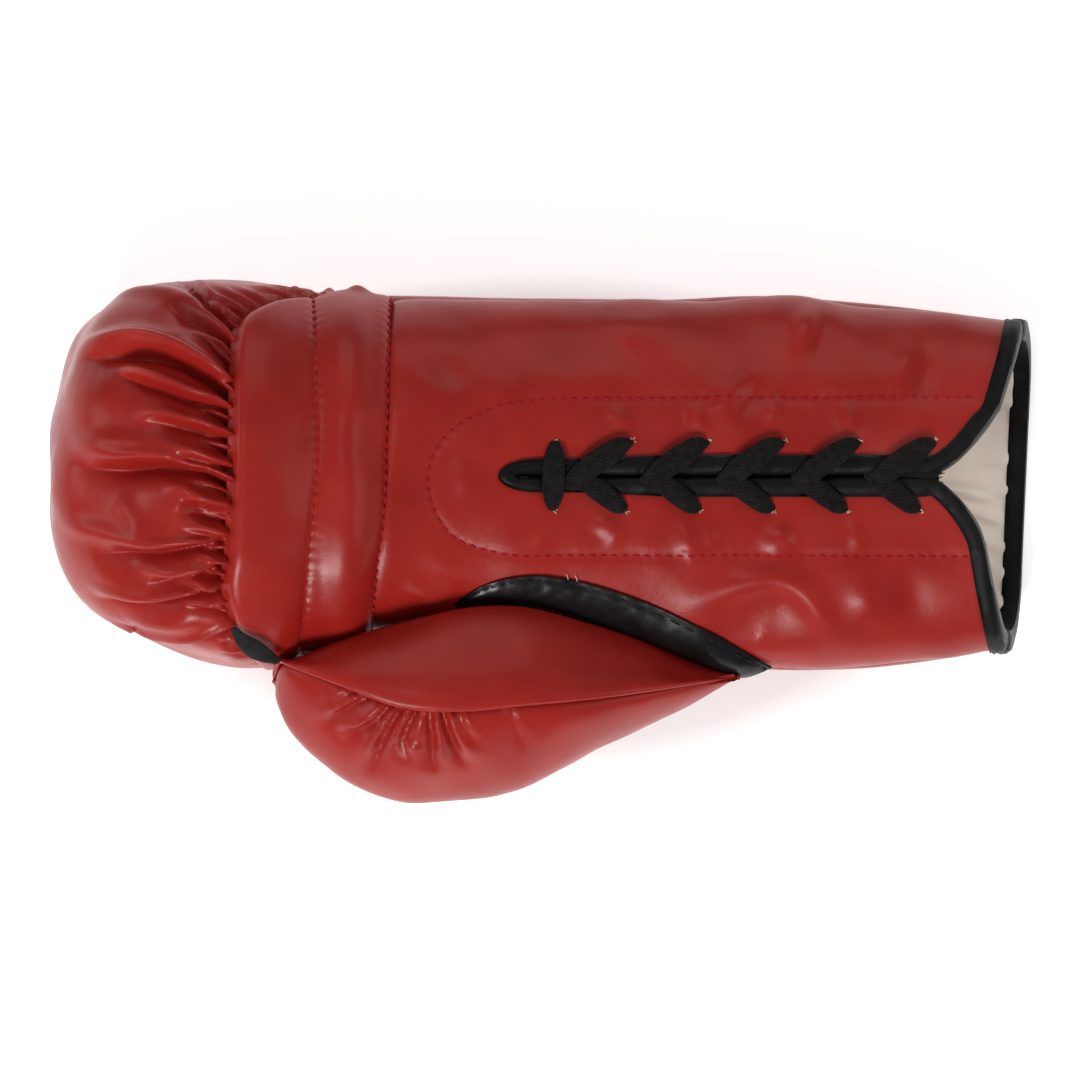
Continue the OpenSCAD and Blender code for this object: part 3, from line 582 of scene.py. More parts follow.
seam = Line(seam_path())
creases = [Crease(on_palm(p), CREASE_DEPTH * d, w, gentle=SLACK_SIDE) for p, d, w in FIST_CREASES]
creases += plain_pleats() + corner_pleats() + under_creases()
ridges = side_puckers() + [Ridge(on_palm(p), h, w) for p, h, w in FIST_RIDGES]
ridges += [Ridge(on_palm(p), FOLD_HEIGHT * h, w, fade=0.5) for p, h, w in PALM_FOLDS]
# The heights between which the relief fades, towards the flat underside
FLAT_UNDERSIDE = (0.5, 9)
# How far the grip's panel stands above the leather round it, and how far its rounded edge drops
GRIP_RISE = 1.0
GRIP_EDGE_DROP = 3.2
SIDE_GATHER_PITCH = 4.2
grip_row_1 = StitchRow(row_path(ROW_1), 1.2, 1.2, 0.6, 0.25)
grip_row_2 = StitchRow(row_path(ROW_2), 1.5, 1.3, 0.5, 0.3)
facing_row = StitchRow(on_palm(FACING), 0.5, 1.0, 0.15, 0.2)


def valley(distance, depth, width):
    """The depth of a sharp valley at this distance from its bottom"""
    return depth * np.exp(-distance / width)


def rounded_edge(distance, radius):
    """The height, from 0 to 1, of a quarter round this far in from an edge"""
    return np.sqrt(1 - (1 - np.minimum(distance, radius) / radius) ** 2)


def body_relief(points, part):
    """How far the leather stands out from the plain surface, on the fist, the grip or the palm"""
    height = add_up(points, creases if part == "fist" else [], ridges)
    x, z = points[:, 0], points[:, 2]
    which, distance, run, _ = seam.near(points, 12)
    if part == "fist":
        height[which] -= valley(distance, 2.3, 2.2)
        height += 0.8 * noise(points, 34, 21) * smooth(-x, 60, 110) + 0.35 * noise(points, 60, 22)
        height += 1.2 * smooth(-x, 125, 150)
        gathers = np.cos(2 * np.pi * run / SIDE_GATHER_PITCH) * np.exp(-distance / 2.5)
        height[which] += 0.25 * gathers * smooth(x[which], -62, -50)
        return height * smooth(z, *FLAT_UNDERSIDE)
    if part == "grip":
        height += GRIP_RISE
        height[which] += GRIP_EDGE_DROP * (rounded_edge(distance, 3.6) - 1) * smooth(distance, 12, 8)
        height += 0.9 * bell(x + 83, 9) + 1.2 * bell(x + 60, 8)
        height += 0.3 * noise(points, 22, 31)
    else:
        height[which] -= valley(distance, 1.5, 1.6)
        height += 0.6 * noise(points, 48, 41) + 0.12 * noise(points, 19, 42)
    for row in (grip_row_1, grip_row_2, facing_row):
        which, groove = row.height(points)
        height[which] += groove
    return height * smooth(z, *FLAT_UNDERSIDE)


def leather(t, v, part="palm", lift=0.0):
    """Points on the leather at t, v, this far above it"""
    t, v = alike(t, v)
    base = outside.point(t, v)
    flat = base.reshape(-1, 3)
    height = body_relief(flat, part).reshape(t.shape) + lift
    return base + outside.normal(t, v) * height[..., None]


# ---- Meshes ----
UV_PER_MM = 0.1


def grid_normals(points, closed=False):
    """Normals at the points of a grid, with one normal for all of a row that is a single point"""
    if closed:
        padded = np.concatenate([points[:, -1:], points, points[:, :1]], axis=1)
        around = np.gradient(padded, axis=1)[:, 1:-1]
    else:
        around = np.gradient(points, axis=1)
    normals = np.cross(around, np.gradient(points, axis=0))
    flat = np.linalg.norm(normals, axis=-1).max(axis=1) < 1e-6
    for i in np.nonzero(flat)[0]:
        normals[i] = normals[i + 1 if i == 0 else i - 1].mean(axis=0)
    return unit(normals)


def new_object(name, vertices, faces, material, loop_normals=None, uv=None, sharp=None):
    mesh = bpy.data.meshes.new(name)
    mesh.from_pydata((np.asarray(vertices) * MM).tolist(), [], faces)
    mesh.polygons.foreach_set("use_smooth", [True] * len(mesh.polygons))
    mesh.materials.append(material)
    if uv is not None:
        layer = mesh.uv_layers.new(name="UVMap")
        at = np.zeros(len(mesh.loops), int)
        mesh.loops.foreach_get("vertex_index", at)
        layer.data.foreach_set("uv", np.asarray(uv, float)[at].ravel())
    if loop_normals is not None:
        mesh.normals_split_custom_set(loop_normals)
    elif sharp:
        mesh.set_sharp_from_angle(angle=math.radians(sharp))
    obj = bpy.data.objects.new(name, mesh)
    bpy.context.scene.collection.objects.link(obj)
    return obj


def uv_grid(along, across):
    return np.stack(np.meshgrid(along, across, indexing="ij"), axis=-1).reshape(-1, 2) * UV_PER_MM


def slab(name, top, bottom, material, keep=None, closed=False, poles=(False, False), normals=None):
    """A closed sheet between two grids of points, over the cells that keep allows"""
    rows, columns = top.shape[:2]
    wide = columns if closed else columns - 1
    keep = np.ones((rows - 1, wide), bool) if keep is None else keep
    normals = grid_normals(top, closed) if normals is None else normals
    index = np.arange(rows * columns).reshape(rows, columns)
    if poles[0]:
        index[0, :] = index[0, 0]
    if poles[1]:
        index[-1, :] = index[-1, 0]
    here = index[:, :wide]
    there = np.roll(index, -1, axis=1) if closed else index[:, 1:]
    corners = np.stack([here[:-1], there[:-1], there[1:], here[1:]], axis=-1)
    under = rows * columns
    if closed:
        side = np.roll(keep, 1, axis=1), np.roll(keep, -1, axis=1)
    else:
        padded = np.pad(keep, ((0, 0), (1, 1)))
        side = padded[:, :-2], padded[:, 2:]
    ends = np.pad(keep, ((1, 1), (0, 0)))
    before, after = ends[:-2], ends[2:]
    cells = corners[keep]
    rims = []
    open_end = np.ones((rows - 1, wide), bool)
    open_start = open_end.copy()
    open_start[0] = not poles[0]
    open_end[-1] = not poles[1]
    for missing, a, b in ((keep & ~before & open_start, 0, 1), (keep & ~side[1], 1, 2),
                          (keep & ~after & open_end, 2, 3), (keep & ~side[0], 3, 0)):
        edge = corners[missing][:, [b, a]]
        rims.append(np.concatenate([edge, edge[:, ::-1] + under], axis=1))
    faces = np.concatenate([cells, cells[:, ::-1] + under] + rims)
    vertices = np.concatenate([top.reshape(-1, 3), bottom.reshape(-1, 3)])
    flat = np.concatenate([normals.reshape(-1, 3), -normals.reshape(-1, 3)])
    used = np.unique(faces)
    renumber = np.zeros(len(vertices), int)
    renumber[used] = np.arange(len(used))
    smooth_faces = 2 * len(cells)
    face_list, loop_normals = [], []
    face_normals = unit(np.cross(vertices[faces[:, 2]] - vertices[faces[:, 0]],
                                 vertices[faces[:, 3]] - vertices[faces[:, 1]]))
    for k, face in enumerate(faces.tolist()):
        loop = [face[i] for i in range(4) if face[i] != face[i - 1]]
        if len(loop) < 3:
            continue
        face_list.append([int(renumber[i]) for i in loop])
        for i in loop:
            loop_normals.append(flat[i] if k < smooth_faces else face_normals[k])
    uv = uv_grid(lengths(top.mean(axis=1)), lengths(top[rows // 2]))
    uv = np.concatenate([uv, uv])[used]
    return new_object(name, vertices[used], face_list, material, loop_normals, uv)


class Sweep:
    """Closed sections along paths, gathered into one object"""

    def __init__(self):
        self.vertices, self.faces, self.uv, self.count = [], [], [], 0

    def add(self, rings, across=None):
        rings = np.asarray(rings, float)
        length, sides = rings.shape[:2]
        start = self.count
        for i in range(length - 1):
            for k in range(sides):
                a, b = start + i * sides + k, start + i * sides + (k + 1) % sides
                self.faces.append([a, b, b + sides, a + sides])
        self.faces.append([start + k for k in range(sides)][::-1])
        self.faces.append([start + (length - 1) * sides + k for k in range(sides)])
        along = lengths(rings.mean(axis=1))
        across = np.linspace(0, 1, sides) if across is None else across
        self.vertices.append(rings.reshape(-1, 3))
        self.uv.append(uv_grid(along, across))
        self.count += length * sides

    def build(self, name, material, sharp=50):
        return new_object(name, np.concatenate(self.vertices), self.faces, material,
                          uv=np.concatenate(self.uv), sharp=sharp)


# ---- Materials ----
def set_inputs(node, values):
    for name, value in values.items():
        node.inputs[name].default_value = value


class Material:
    """A Principled material and the nodes that feed it"""

    def __init__(self, name, **inputs):
        self.material = bpy.data.materials.new(name)
        self.material.use_nodes = True
        self.nodes = self.material.node_tree.nodes
        self.shader = self.nodes["Principled BSDF"]
        set_inputs(self.shader, inputs)
        self.place = self.nodes.new("ShaderNodeTexCoord")
        self.bumps = []

    def link(self, a, b):
        self.material.node_tree.links.new(a, b)

    def add(self, kind, values=None, **settings):
        node = self.nodes.new(kind)
        for name, value in settings.items():
            setattr(node, name, value)
        set_inputs(node, values or {})
        return node

    def noise(self, scale, detail):
        node = self.add("ShaderNodeTexNoise", {"Scale": scale, "Detail": detail, "Roughness": 0.55})
        self.link(self.place.outputs["Object"], node.inputs["Vector"])
        return node.outputs["Fac"]

    def mapped(self, source, stretch):
        """Places on the surface, stretched this much along each axis"""
        if stretch is None:
            return self.place.outputs[source]
        node = self.add("ShaderNodeMapping", {"Scale": stretch})
        self.link(self.place.outputs[source], node.inputs["Vector"])
        return node.outputs["Vector"]

    def cells(self, scale):
        node = self.add("ShaderNodeTexVoronoi", {"Scale": scale}, feature="F1")
        self.link(self.place.outputs["Object"], node.inputs["Vector"])
        return node.outputs["Distance"]

    def wave(self, scale, direction, source="UV", stretch=None):
        node = self.add("ShaderNodeTexWave", {"Scale": scale, "Detail": 1.0}, bands_direction=direction)
        self.link(self.mapped(source, stretch), node.inputs["Vector"])
        return node.outputs["Fac"]

    def product(self, a, b):
        node = self.add("ShaderNodeMath", operation="MULTIPLY")
        self.link(a, node.inputs[0])
        self.link(b, node.inputs[1])
        return node.outputs["Value"]

    def ramp(self, fac, low, high, colours, socket="Base Color"):
        """Two colours or two values between low and high of fac, into a socket of the shader"""
        if isinstance(colours[0], float):
            ends = {"From Min": low, "From Max": high, "To Min": colours[0], "To Max": colours[1]}
            node = self.add("ShaderNodeMapRange", ends)
            self.link(fac, node.inputs["Value"])
            self.link(node.outputs["Result"], self.shader.inputs[socket])
        else:
            node = self.add("ShaderNodeValToRGB")
            for end, at, colour in zip(node.color_ramp.elements, (low, high), colours):
                end.position = at
                end.color = (*colour, 1)
            self.link(fac, node.inputs["Fac"])
            self.link(node.outputs["Color"], self.shader.inputs[socket])

    def bump(self, height, strength, distance):
        node = self.add("ShaderNodeBump", {"Strength": strength, "Distance": distance})
        self.link(height, node.inputs["Height"])
        if self.bumps:
            self.link(self.bumps[-1].outputs["Normal"], node.inputs["Normal"])
        self.bumps.append(node)
        self.link(node.outputs["Normal"], self.shader.inputs["Normal"])


def make_red_leather():
    m = Material("red_leather", **{"Roughness": 0.36, "Specular IOR Level": 0.2, "Coat Weight": 0.05,
                                   "Coat Roughness": 0.18})
    m.ramp(m.noise(45, 4), 0.3, 0.7, [(0.245, 0.0095, 0.0065), (0.30, 0.014, 0.009)])
    m.ramp(m.noise(120, 4), 0.3, 0.7, [0.31, 0.41], "Roughness")
    m.bump(m.noise(140, 3), 0.25, 0.0006)
    m.bump(m.cells(1500), 0.12, 0.00012)
    m.bump(m.noise(2600, 2), 0.1, 0.0001)
    return m.material


WEAVE_SCALE = 1100.0


def make_cotton(name, dark, light):
    m = Material(name, **{"Roughness": 0.85, "Specular IOR Level": 0.2, "Sheen Weight": 0.25,
                          "Sheen Roughness": 0.5})
    m.ramp(m.noise(60, 4), 0.3, 0.7, [dark, light])
    weave = m.product(m.wave(WEAVE_SCALE, "X", "Object"), m.wave(WEAVE_SCALE, "Y", "Object"))
    m.bump(m.noise(160, 3), 0.3, 0.0006)
    m.bump(weave, 0.3, 0.00015)
    return m.material


def make_vinyl():
    m = Material("black_vinyl", **{"Roughness": 0.26, "Specular IOR Level": 0.2, "Coat Weight": 0.04,
                                   "Coat Roughness": 0.1})
    m.ramp(m.noise(90, 3), 0.3, 0.7, [(0.0035, 0.0032, 0.0035), (0.006, 0.0055, 0.006)])
    m.ramp(m.noise(90, 3), 0.3, 0.7, [0.24, 0.34], "Roughness")
    m.bump(m.noise(200, 2), 0.08, 0.0004)
    m.bump(m.cells(1700), 0.1, 0.0001)
    return m.material


def make_satin():
    m = Material("black_satin", **{"Roughness": 0.45, "Specular IOR Level": 0.11, "Sheen Weight": 0.01,
                                   "Sheen Roughness": 0.35})
    m.ramp(m.noise(150, 3), 0.3, 0.7, [(0.0025, 0.0024, 0.0027), (0.0065, 0.006, 0.0068)])
    m.bump(m.wave(6.5, "DIAGONAL"), 0.25, 0.0002)
    m.bump(m.noise(500, 3), 0.35, 0.0004)
    return m.material


def make_lace():
    m = Material("black_lace", **{"Roughness": 0.85, "Specular IOR Level": 0.12, "Sheen Weight": 0.03,
                                  "Sheen Roughness": 0.45})
    m.ramp(m.noise(400, 3), 0.3, 0.7, [(0.004, 0.0035, 0.0035), (0.012, 0.0105, 0.01)])
    braid = m.product(m.wave(4.2, "DIAGONAL"), m.wave(4.2, "DIAGONAL", stretch=(1, -1, 1)))
    m.bump(braid, 0.8, 0.0005)
    m.bump(m.noise(1800, 2), 0.4, 0.0002)
    return m.material


def make_plain_black(name, roughness):
    m = Material(name, **{"Roughness": roughness, "Specular IOR Level": 0.15})
    m.ramp(m.noise(300, 3), 0.3, 0.7, [(0.006, 0.006, 0.006), (0.017, 0.016, 0.016)])
    m.bump(m.wave(7.0, "X"), 0.35, 0.0003)
    return m.material


def make_thread():
    m = Material("red_thread", **{"Roughness": 0.7, "Specular IOR Level": 0.15})
    m.ramp(m.noise(900, 2), 0.3, 0.7, [(0.30, 0.006, 0.012), (0.45, 0.012, 0.02)])
    m.bump(m.wave(14.0, "DIAGONAL"), 0.6, 0.0003)
    return m.material


def make_foam():
    m = Material("foam", **{"Roughness": 0.9, "Specular IOR Level": 0.2})
    m.ramp(m.noise(120, 4), 0.3, 0.7, [(0.66, 0.56, 0.34), (0.8, 0.71, 0.48)])
    m.bump(m.cells(900), 0.5, 0.0004)
    return m.material


red_leather = make_red_leather()
cotton = make_cotton("cotton_lining", (0.88, 0.76, 0.66), (0.95, 0.85, 0.76))
canvas = make_cotton("canvas_facing", (0.55, 0.45, 0.30), (0.66, 0.56, 0.40))
vinyl = make_vinyl()
satin = make_satin()
lace_cloth = make_lace()
webbing = make_plain_black("black_webbing", 0.7)
aglet_plastic = make_plain_black("black_aglet", 0.35)
thread = make_thread()
thread_dark = make_plain_black("black_thread", 0.6)
foam = make_foam()


# ---- The fist, the grip and the palm ----
LEATHER_T = 1.2
TOP_COLUMNS = 230
UNDER_COLUMNS = 190
NOSE_ROWS = 135
BACK_ROWS = 150
GRIP_ROWS = 56
FRONT_ROWS = 46
CUFF_ROWS = 104
SIDE_COLUMNS = 26
FLAP_COLUMNS = 18

top_angles = outside.angles(5, SIDE, FAR_SIDE, TOP_COLUMNS)
under_angles = outside.angles(5, FAR_SIDE, ROUND_TO_SIDE, UNDER_COLUMNS)


def leather_sheet(name, points, normals, keep=None, closed=False, poles=(False, False)):
    return slab(name, points, points - normals * LEATHER_T, red_leather, keep, closed, poles, normals)


def open_tube_normals(points, first_row, columns):
    """Normals of a tube whose palm side, its first columns, is left open from first_row on"""
    normals = grid_normals(points, closed=True)
    normals[first_row:, 0] = normals[first_row:, -1]
    normals[first_row:, columns - 1] = normals[first_row:, columns]
    return normals


def back_hem_t(v):
    """Where the back of the hand ends: at the hem, a little shorter at the side seams"""
    away = np.minimum(v - FAR_SIDE, ROUND_TO_SIDE - v)
    return outside.last - (outside.last - outside.t_of(HEM_SIDE_X)) * np.exp(-np.maximum(away, 0) / 0.12)


def hem_from_side(v):
    """The same all the way round, with the palm side's place at its side seam"""
    return np.where(v >= FAR_SIDE - 1e-6, back_hem_t(v), back_hem_t(ROUND_TO_SIDE))


def make_fist():
    """The gathered fist and the back of the hand, in one piece of leather"""
    v = np.concatenate([top_angles, under_angles[1:-1]])
    end = outside.t_of(gather_x(np.minimum(v, math.pi)))
    under = v > math.pi
    turn = np.sqrt(np.clip(np.sin(v[under] - math.pi), 0, 1))
    end[under] = mix(mix(outside.t_of(gather_x(FAR_SIDE)), outside.t_of(gather_x(SIDE)),
                         (v[under] - math.pi) / math.pi), outside.t_of(UNDER_SEAM_X), turn)
    share = np.linspace(0, 1, 90)
    fine = outside.point(share[:, None] * end, v[None, :])
    steps = np.linalg.norm(np.diff(fine, axis=0), axis=2)
    run = np.concatenate([np.zeros((1, len(v))), np.cumsum(steps, axis=0)])
    target = np.linspace(0, 1, NOSE_ROWS)
    t = np.stack([np.interp(target * run[-1, j], run[:, j], share) * end[j] for j in range(len(v))],
                 axis=1)
    back = mix(end, hem_from_side(v), np.linspace(0, 1, BACK_ROWS)[1:, None])
    is_top = (v > SIDE + 1e-6) & (v < FAR_SIDE - 1e-6)
    back[:, is_top] = end[is_top]
    t = np.concatenate([t, back])
    points = leather(t, np.broadcast_to(v, t.shape), "fist")
    keep = np.ones((len(t) - 1, len(v)), bool)
    keep[NOSE_ROWS - 1:, :TOP_COLUMNS - 1] = False
    normals = open_tube_normals(points, NOSE_ROWS - 1, TOP_COLUMNS)
    return leather_sheet("fist_leather", points, normals, keep, True, (True, False))


# How far the grip's and the palm's edges are turned in under the back's leather, at the side seams
SIDE_TUCK = -3.4
TUCK_ANGLE = 0.03
# How far the grip's front edge is turned in under the gathers, in sections
FRONT_TUCK = 0.1


def make_grip():
    start = outside.t_of(gather_x(top_angles))
    end = row_t(ROW_2, top_angles)
    t = mix(start, end, np.linspace(0, 1, GRIP_ROWS)[:, None])
    points = leather(t, np.broadcast_to(top_angles, t.shape), "grip")
    tucked = leather(start - FRONT_TUCK, top_angles, "grip", -3.2)
    points = np.concatenate([tucked[None], points])
    t = np.concatenate([start[None] - FRONT_TUCK, t])
    sides = [leather(t[:, end_column], np.full(len(t), v), "grip", SIDE_TUCK)[:, None]
             for end_column, v in ((0, SIDE - TUCK_ANGLE), (-1, FAR_SIDE + TUCK_ANGLE))]
    points = np.concatenate([sides[0], points, sides[1]], axis=1)
    return leather_sheet("grip_leather", points, grid_normals(points))


def hem_t(flap, y):
    """The section at which a flap's cut-away hem crosses y"""
    p = evenly(HEM[flap], 0.5)
    order = np.argsort(p[:, 1])
    return outside.t_of(np.interp(y, p[order, 1], p[order, 0]), y)


def palm_places():
    """(t, v) over the whole palm side from the grip to the hem, and which columns each part has"""
    upper_side = np.linspace(0, 1, SIDE_COLUMNS)
    upper_flap = np.linspace(FOLD_Y["upper"], SLIT_Y + SLIT_HALF, FLAP_COLUMNS)
    lower_flap = np.linspace(SLIT_Y - SLIT_HALF, FOLD_Y["lower"], FLAP_COLUMNS)
    hem_corner = outside.t_of(HEM_SIDE_X)
    columns = ([("upper_side", g) for g in upper_side[:-1]] + [("upper", y) for y in upper_flap]
               + [("slit", SLIT_Y)] + [("lower", y) for y in lower_flap]
               + [("lower_side", g) for g in upper_side[::-1][1:]])
    start_t = float(outside.t_of(FLAP_START_X))
    t_grid, v_grid = [], []
    for kind, value in columns:
        if kind.endswith("side"):
            flap = kind[:5]
            fold, edge = FOLD_Y[flap], SIDE if flap == "upper" else FAR_SIDE
            ease = value ** 0.8
            first_v = mix(edge, outside.v_of(row_t(ROW_2, 0.9 if flap == "upper" else 2.4), fold), ease)
            first = row_t(ROW_2, first_v)
            last = mix(hem_corner, hem_t(flap, fold), ease ** HEM_CURVE[flap])
        else:
            flap = kind if kind != "slit" else "upper"
            y = value
            first = row_t(ROW_2, outside.v_of(9.0, y))
            last = hem_t(flap, max(y, SLIT_Y + SLIT_HALF)) if flap == "upper" else hem_t(flap, y)
        t = np.concatenate([mix(float(first), start_t, np.linspace(0, 1, FRONT_ROWS)),
                            mix(start_t, float(last), np.linspace(0, 1, CUFF_ROWS))[1:]])
        v = mix(edge, outside.v_of(t, fold), ease) if kind.endswith("side") else outside.v_of(t, y)
        t_grid.append(t)
        v_grid.append(v)
    kinds = [kind for kind, _ in columns]
    return np.stack(t_grid, axis=1), np.stack(v_grid, axis=1), kinds


def tucked_palm():
    """The palm side's leather, with its front and side edges turned in"""
    points = leather(palm_t, palm_v, "palm")
    points[0] = leather(palm_t[0] - 0.12, palm_v[0], "palm", -2.6)
    for side, turn in ((0, -TUCK_ANGLE), (-1, TUCK_ANGLE)):
        points[:, side] = leather(palm_t[:, side], palm_v[:, side] + turn, "palm", -2.4)
    return points


def split_palm():
    """Which cells of the palm side are in each flap, and which are in neither a flap nor the slit"""
    middle = first_of["slit"]
    shape = palm_t.shape[0] - 1, palm_t.shape[1] - 1
    slit_x = outside.point(palm_t[:, middle], palm_v[:, middle])[:, 0]
    slit_start = int(np.argmin(np.abs(slit_x - (SLIT_END_X - 1.5))))
    in_slit = np.zeros(shape, bool)
    in_slit[slit_start:, middle - 1:middle + 1] = True
    flaps = {"upper": np.zeros(shape, bool), "lower": np.zeros(shape, bool)}
    flaps["upper"][FRONT_ROWS - 1:, first_of["upper"]:middle - 1] = True
    flaps["lower"][FRONT_ROWS - 1:, first_of["lower"]:first_of["lower_side"] - 1] = True
    return flaps, ~in_slit & ~flaps["upper"] & ~flaps["lower"]


palm_t, palm_v, palm_kinds = palm_places()
first_of = {k: palm_kinds.index(k) for k in ("upper", "slit", "lower", "lower_side")}
palm_points = tucked_palm()
palm_normals = grid_normals(palm_points)
flap_cells, palm_cells = split_palm()


# ---- The thumb ----
class ThumbLoft:
    """The thumb's outside: t counts the sections, and p the five corners round them"""

    def __init__(self):
        self.rows = np.array(THUMB, float)
        self.last = len(THUMB) - 1

    def point(self, t, p):
        t, p = alike(t, p)
        r = spline(self.rows, t)
        corners = r[..., 1:].reshape(*t.shape, 5, 2)
        k = np.floor(p).astype(int)
        f = (p - k)[..., None]

        def corner(n):
            return np.take_along_axis(corners, ((k + n) % 5)[..., None, None], axis=-2)[..., 0, :]

        yz = catmull_rom(corner(-1), corner(0), corner(1), corner(2), f)
        return np.concatenate([r[..., :1], yz], axis=-1)

    def middle(self, t):
        """The middle of the thumb's section at t"""
        r = spline(self.rows, t)
        return np.stack([r[..., 0], r[..., 1::2].mean(axis=-1), r[..., 2::2].mean(axis=-1)], axis=-1)

    def normal(self, t, p):
        t, p = alike(t, p)
        t = np.clip(t, 0.12, self.last - 0.12)
        along = self.point(t + 0.05, p) - self.point(t - 0.05, p)
        around = self.point(t, p + 0.03) - self.point(t, p - 0.03)
        normal = unit(np.cross(along, around))
        outward = np.sum(normal * (self.point(t, p) - self.middle(t)), axis=-1, keepdims=True)
        return normal * np.sign(outward)


thumb = ThumbLoft()
THUMB_SEAM = 1.0
PANEL_EDGE = 4.4
THUMB_ROWS = 150
SHELL_COLUMNS = 130
PANEL_COLUMNS = 60
THUMB_SPACE = 0.6
THUMB_SPACE_LENGTH = 0.76
THUMB_MIDDLE_X = -10
THUMB_SPACE_SHIFT = 2
# The gathers beside the thumb's seam, in plan, far end first: points, depth, widths
THUMB_CREASES = [
    ([(-68.4, -58.7), (-62, -53.2), (-54.1, -48.6)], 3.2, (2.6, 1.1)),
    ([(-66.2, -59.1), (-59, -59.6), (-52.2, -57)], 2.6, (2.4, 1.6)),
    ([(-57.6, -60.5), (-50.5, -55), (-46.7, -50.8)], 3.2, (2.6, 1.1)),
    ([(-54.1, -73.6), (-49.4, -61.8), (-43.6, -52.3)], 3.8, (3.2, 1.1)),
    ([(-40.8, -69.6), (-42.9, -61.5), (-38.9, -52.9)], 3.4, (3.0, 1.1)),
    ([(-33, -72.4), (-33.6, -61.5), (-33.9, -53.4)], 3.8, (3.2, 1.1)),
    ([(-22.5, -71.5), (-27.5, -62.3), (-30.2, -53.4)], 3.2, (3.4, 1.1)),
    ([(-20, -64), (-24, -58), (-25.5, -53)], 1.4, (2.6, 1.0)),
    ([(-66, -52), (-61, -48.5), (-58.5, -45.5)], 1.4, (2.4, 1.0)),
    ([(-4, -66), (-8, -58), (-9, -52)], 0.8, (3.4, 1.2)),
]


def thumb_place(plan):
    """Places on the thumb's upper and outer sides that plan points fall on"""
    t, p = np.meshgrid(np.linspace(0.3, 8.7, 360), np.linspace(0.6, 2.3, 120), indexing="ij")
    at = thumb.point(t, p)
    rows = [np.argmin((at[..., 0] - x) ** 2 + (at[..., 1] - y) ** 2) for x, y in plan]
    return t.ravel()[rows], p.ravel()[rows]


thumb_creases = [Crease(thumb.point(*thumb_place(evenly(p, PATH_STEP))), d, w, fade=0.6)
                 for p, d, w in THUMB_CREASES]
fine_t = np.linspace(0.1, thumb.last - 0.1, 80)
thumb_seam = Line(thumb.point(fine_t, np.full(80, THUMB_SEAM)))
thumb_fold = Line(thumb.point(fine_t, np.full(80, PANEL_EDGE)))


def thumb_leather(t, p, part):
    """Points on the leather of the thumb's shell, or of its panel beside the palm"""
    t, p = alike(t, p)
    base = thumb.point(t, p)
    flat = base.reshape(-1, 3)
    height = 0.3 * noise(flat, 40, 51) + (0.1 * noise(flat, 15, 52) if part == "shell" else 0)
    if part == "shell":
        height += add_up(flat, thumb_creases, [])
    for line in (thumb_seam, thumb_fold):
        which, distance, _, _ = line.near(flat, 10)
        if part == "shell":
            height[which] -= valley(distance, 1.7, 1.7)
        else:
            height[which] += 1.9 * (rounded_edge(distance, 1.6) - 1) * smooth(distance, 10, 6)
    if part == "panel":
        around = p.reshape(-1)
        height += 0.7 - 1.2 * smooth(around, 4.6, 5.1) * smooth(6 - around, 0.05, 0.5)
    ends = smooth(t, 0, 0.5) * smooth(thumb.last - t, 0, 0.7)
    return base + thumb.normal(t, p) * (height.reshape(t.shape) * ends)[..., None]


def thumb_rows():
    """Sections spaced evenly along the thumb's outer side"""
    fine = np.linspace(0, thumb.last, 600)
    run = lengths(thumb.point(fine, np.full(600, 1.6)))
    return np.interp(np.linspace(0, run[-1], THUMB_ROWS), run, fine)


def make_thumb_part(name, part, start, stop, count):
    t = thumb_rows()[:, None]
    p = np.linspace(start, stop, count)[None, :]
    points = thumb_leather(t, p, part)
    normals = grid_normals(points)
    if np.mean(np.sum(normals * thumb.normal(t, p), axis=-1)) < 0:
        points, normals = points[:, ::-1], -grid_normals(points)[:, ::-1]
    return leather_sheet(name, points, normals, poles=(True, True))


def thumb_inside(t, p, lift):
    """Points this far above the space that holds the thumb"""
    a = thumb.point(t, p)
    c = thumb.middle(np.broadcast_to(t, a.shape[:-1]))
    b = np.stack([THUMB_MIDDLE_X + (a[..., 0] - THUMB_MIDDLE_X) * THUMB_SPACE_LENGTH,
                  c[..., 1] + THUMB_SPACE_SHIFT + (a[..., 1] - c[..., 1]) * THUMB_SPACE,
                  c[..., 2] + (a[..., 2] - c[..., 2]) * THUMB_SPACE], axis=-1)
    return b + unit(a - b) * lift


def thumb_layer(name, material, start, stop, count, outer_depth, inner_lift, closed=False, outer=None):
    """A layer inside the thumb, from this far above its space to this far below its outside, or, given
    outer, to this far above its space"""
    t = np.linspace(0.5, thumb.last - (0 if closed else 1), 46)[:, None]
    p = np.linspace(start, stop, count, endpoint=not closed)[None, :]
    top = thumb_inside(t, p, outer) if outer else thumb.point(t, p) - thumb.normal(t, p) * outer_depth
    bottom = thumb_inside(t, p, inner_lift)
    if np.mean(np.sum(grid_normals(top) * (top - bottom), axis=-1)) < 0:
        top, bottom = top[:, ::-1], bottom[:, ::-1]
    return slab(name, top, bottom, material, closed=closed, poles=(True, True))


# ---- Linings and padding ----
LINING_T = 0.9
# Rows and columns of the lining's bag over the fingers
BAG_ROWS = 70
BAG_COLUMNS = 90
# Folds of the lining in the cuff's mouth: plan points, height, width
LINING_FOLDS = [
    ([(104, 24), (118, 19), (132, 15.5), (146, 11)], 3.4, 1.7),
    ([(112, 8), (126, 5), (146, -3)], 2.8, 1.4),
    ([(118, 0), (132, -5), (146, -9)], 2.4, 1.3),
    ([(108, 36), (126, 34), (146, 31)], 2.0, 2.4),
    ([(112, 50), (128, 49), (146, 48)], 1.8, 2.2),
    ([(128, 11), (138, 8), (146, 5)], 2.0, 1.1),
]


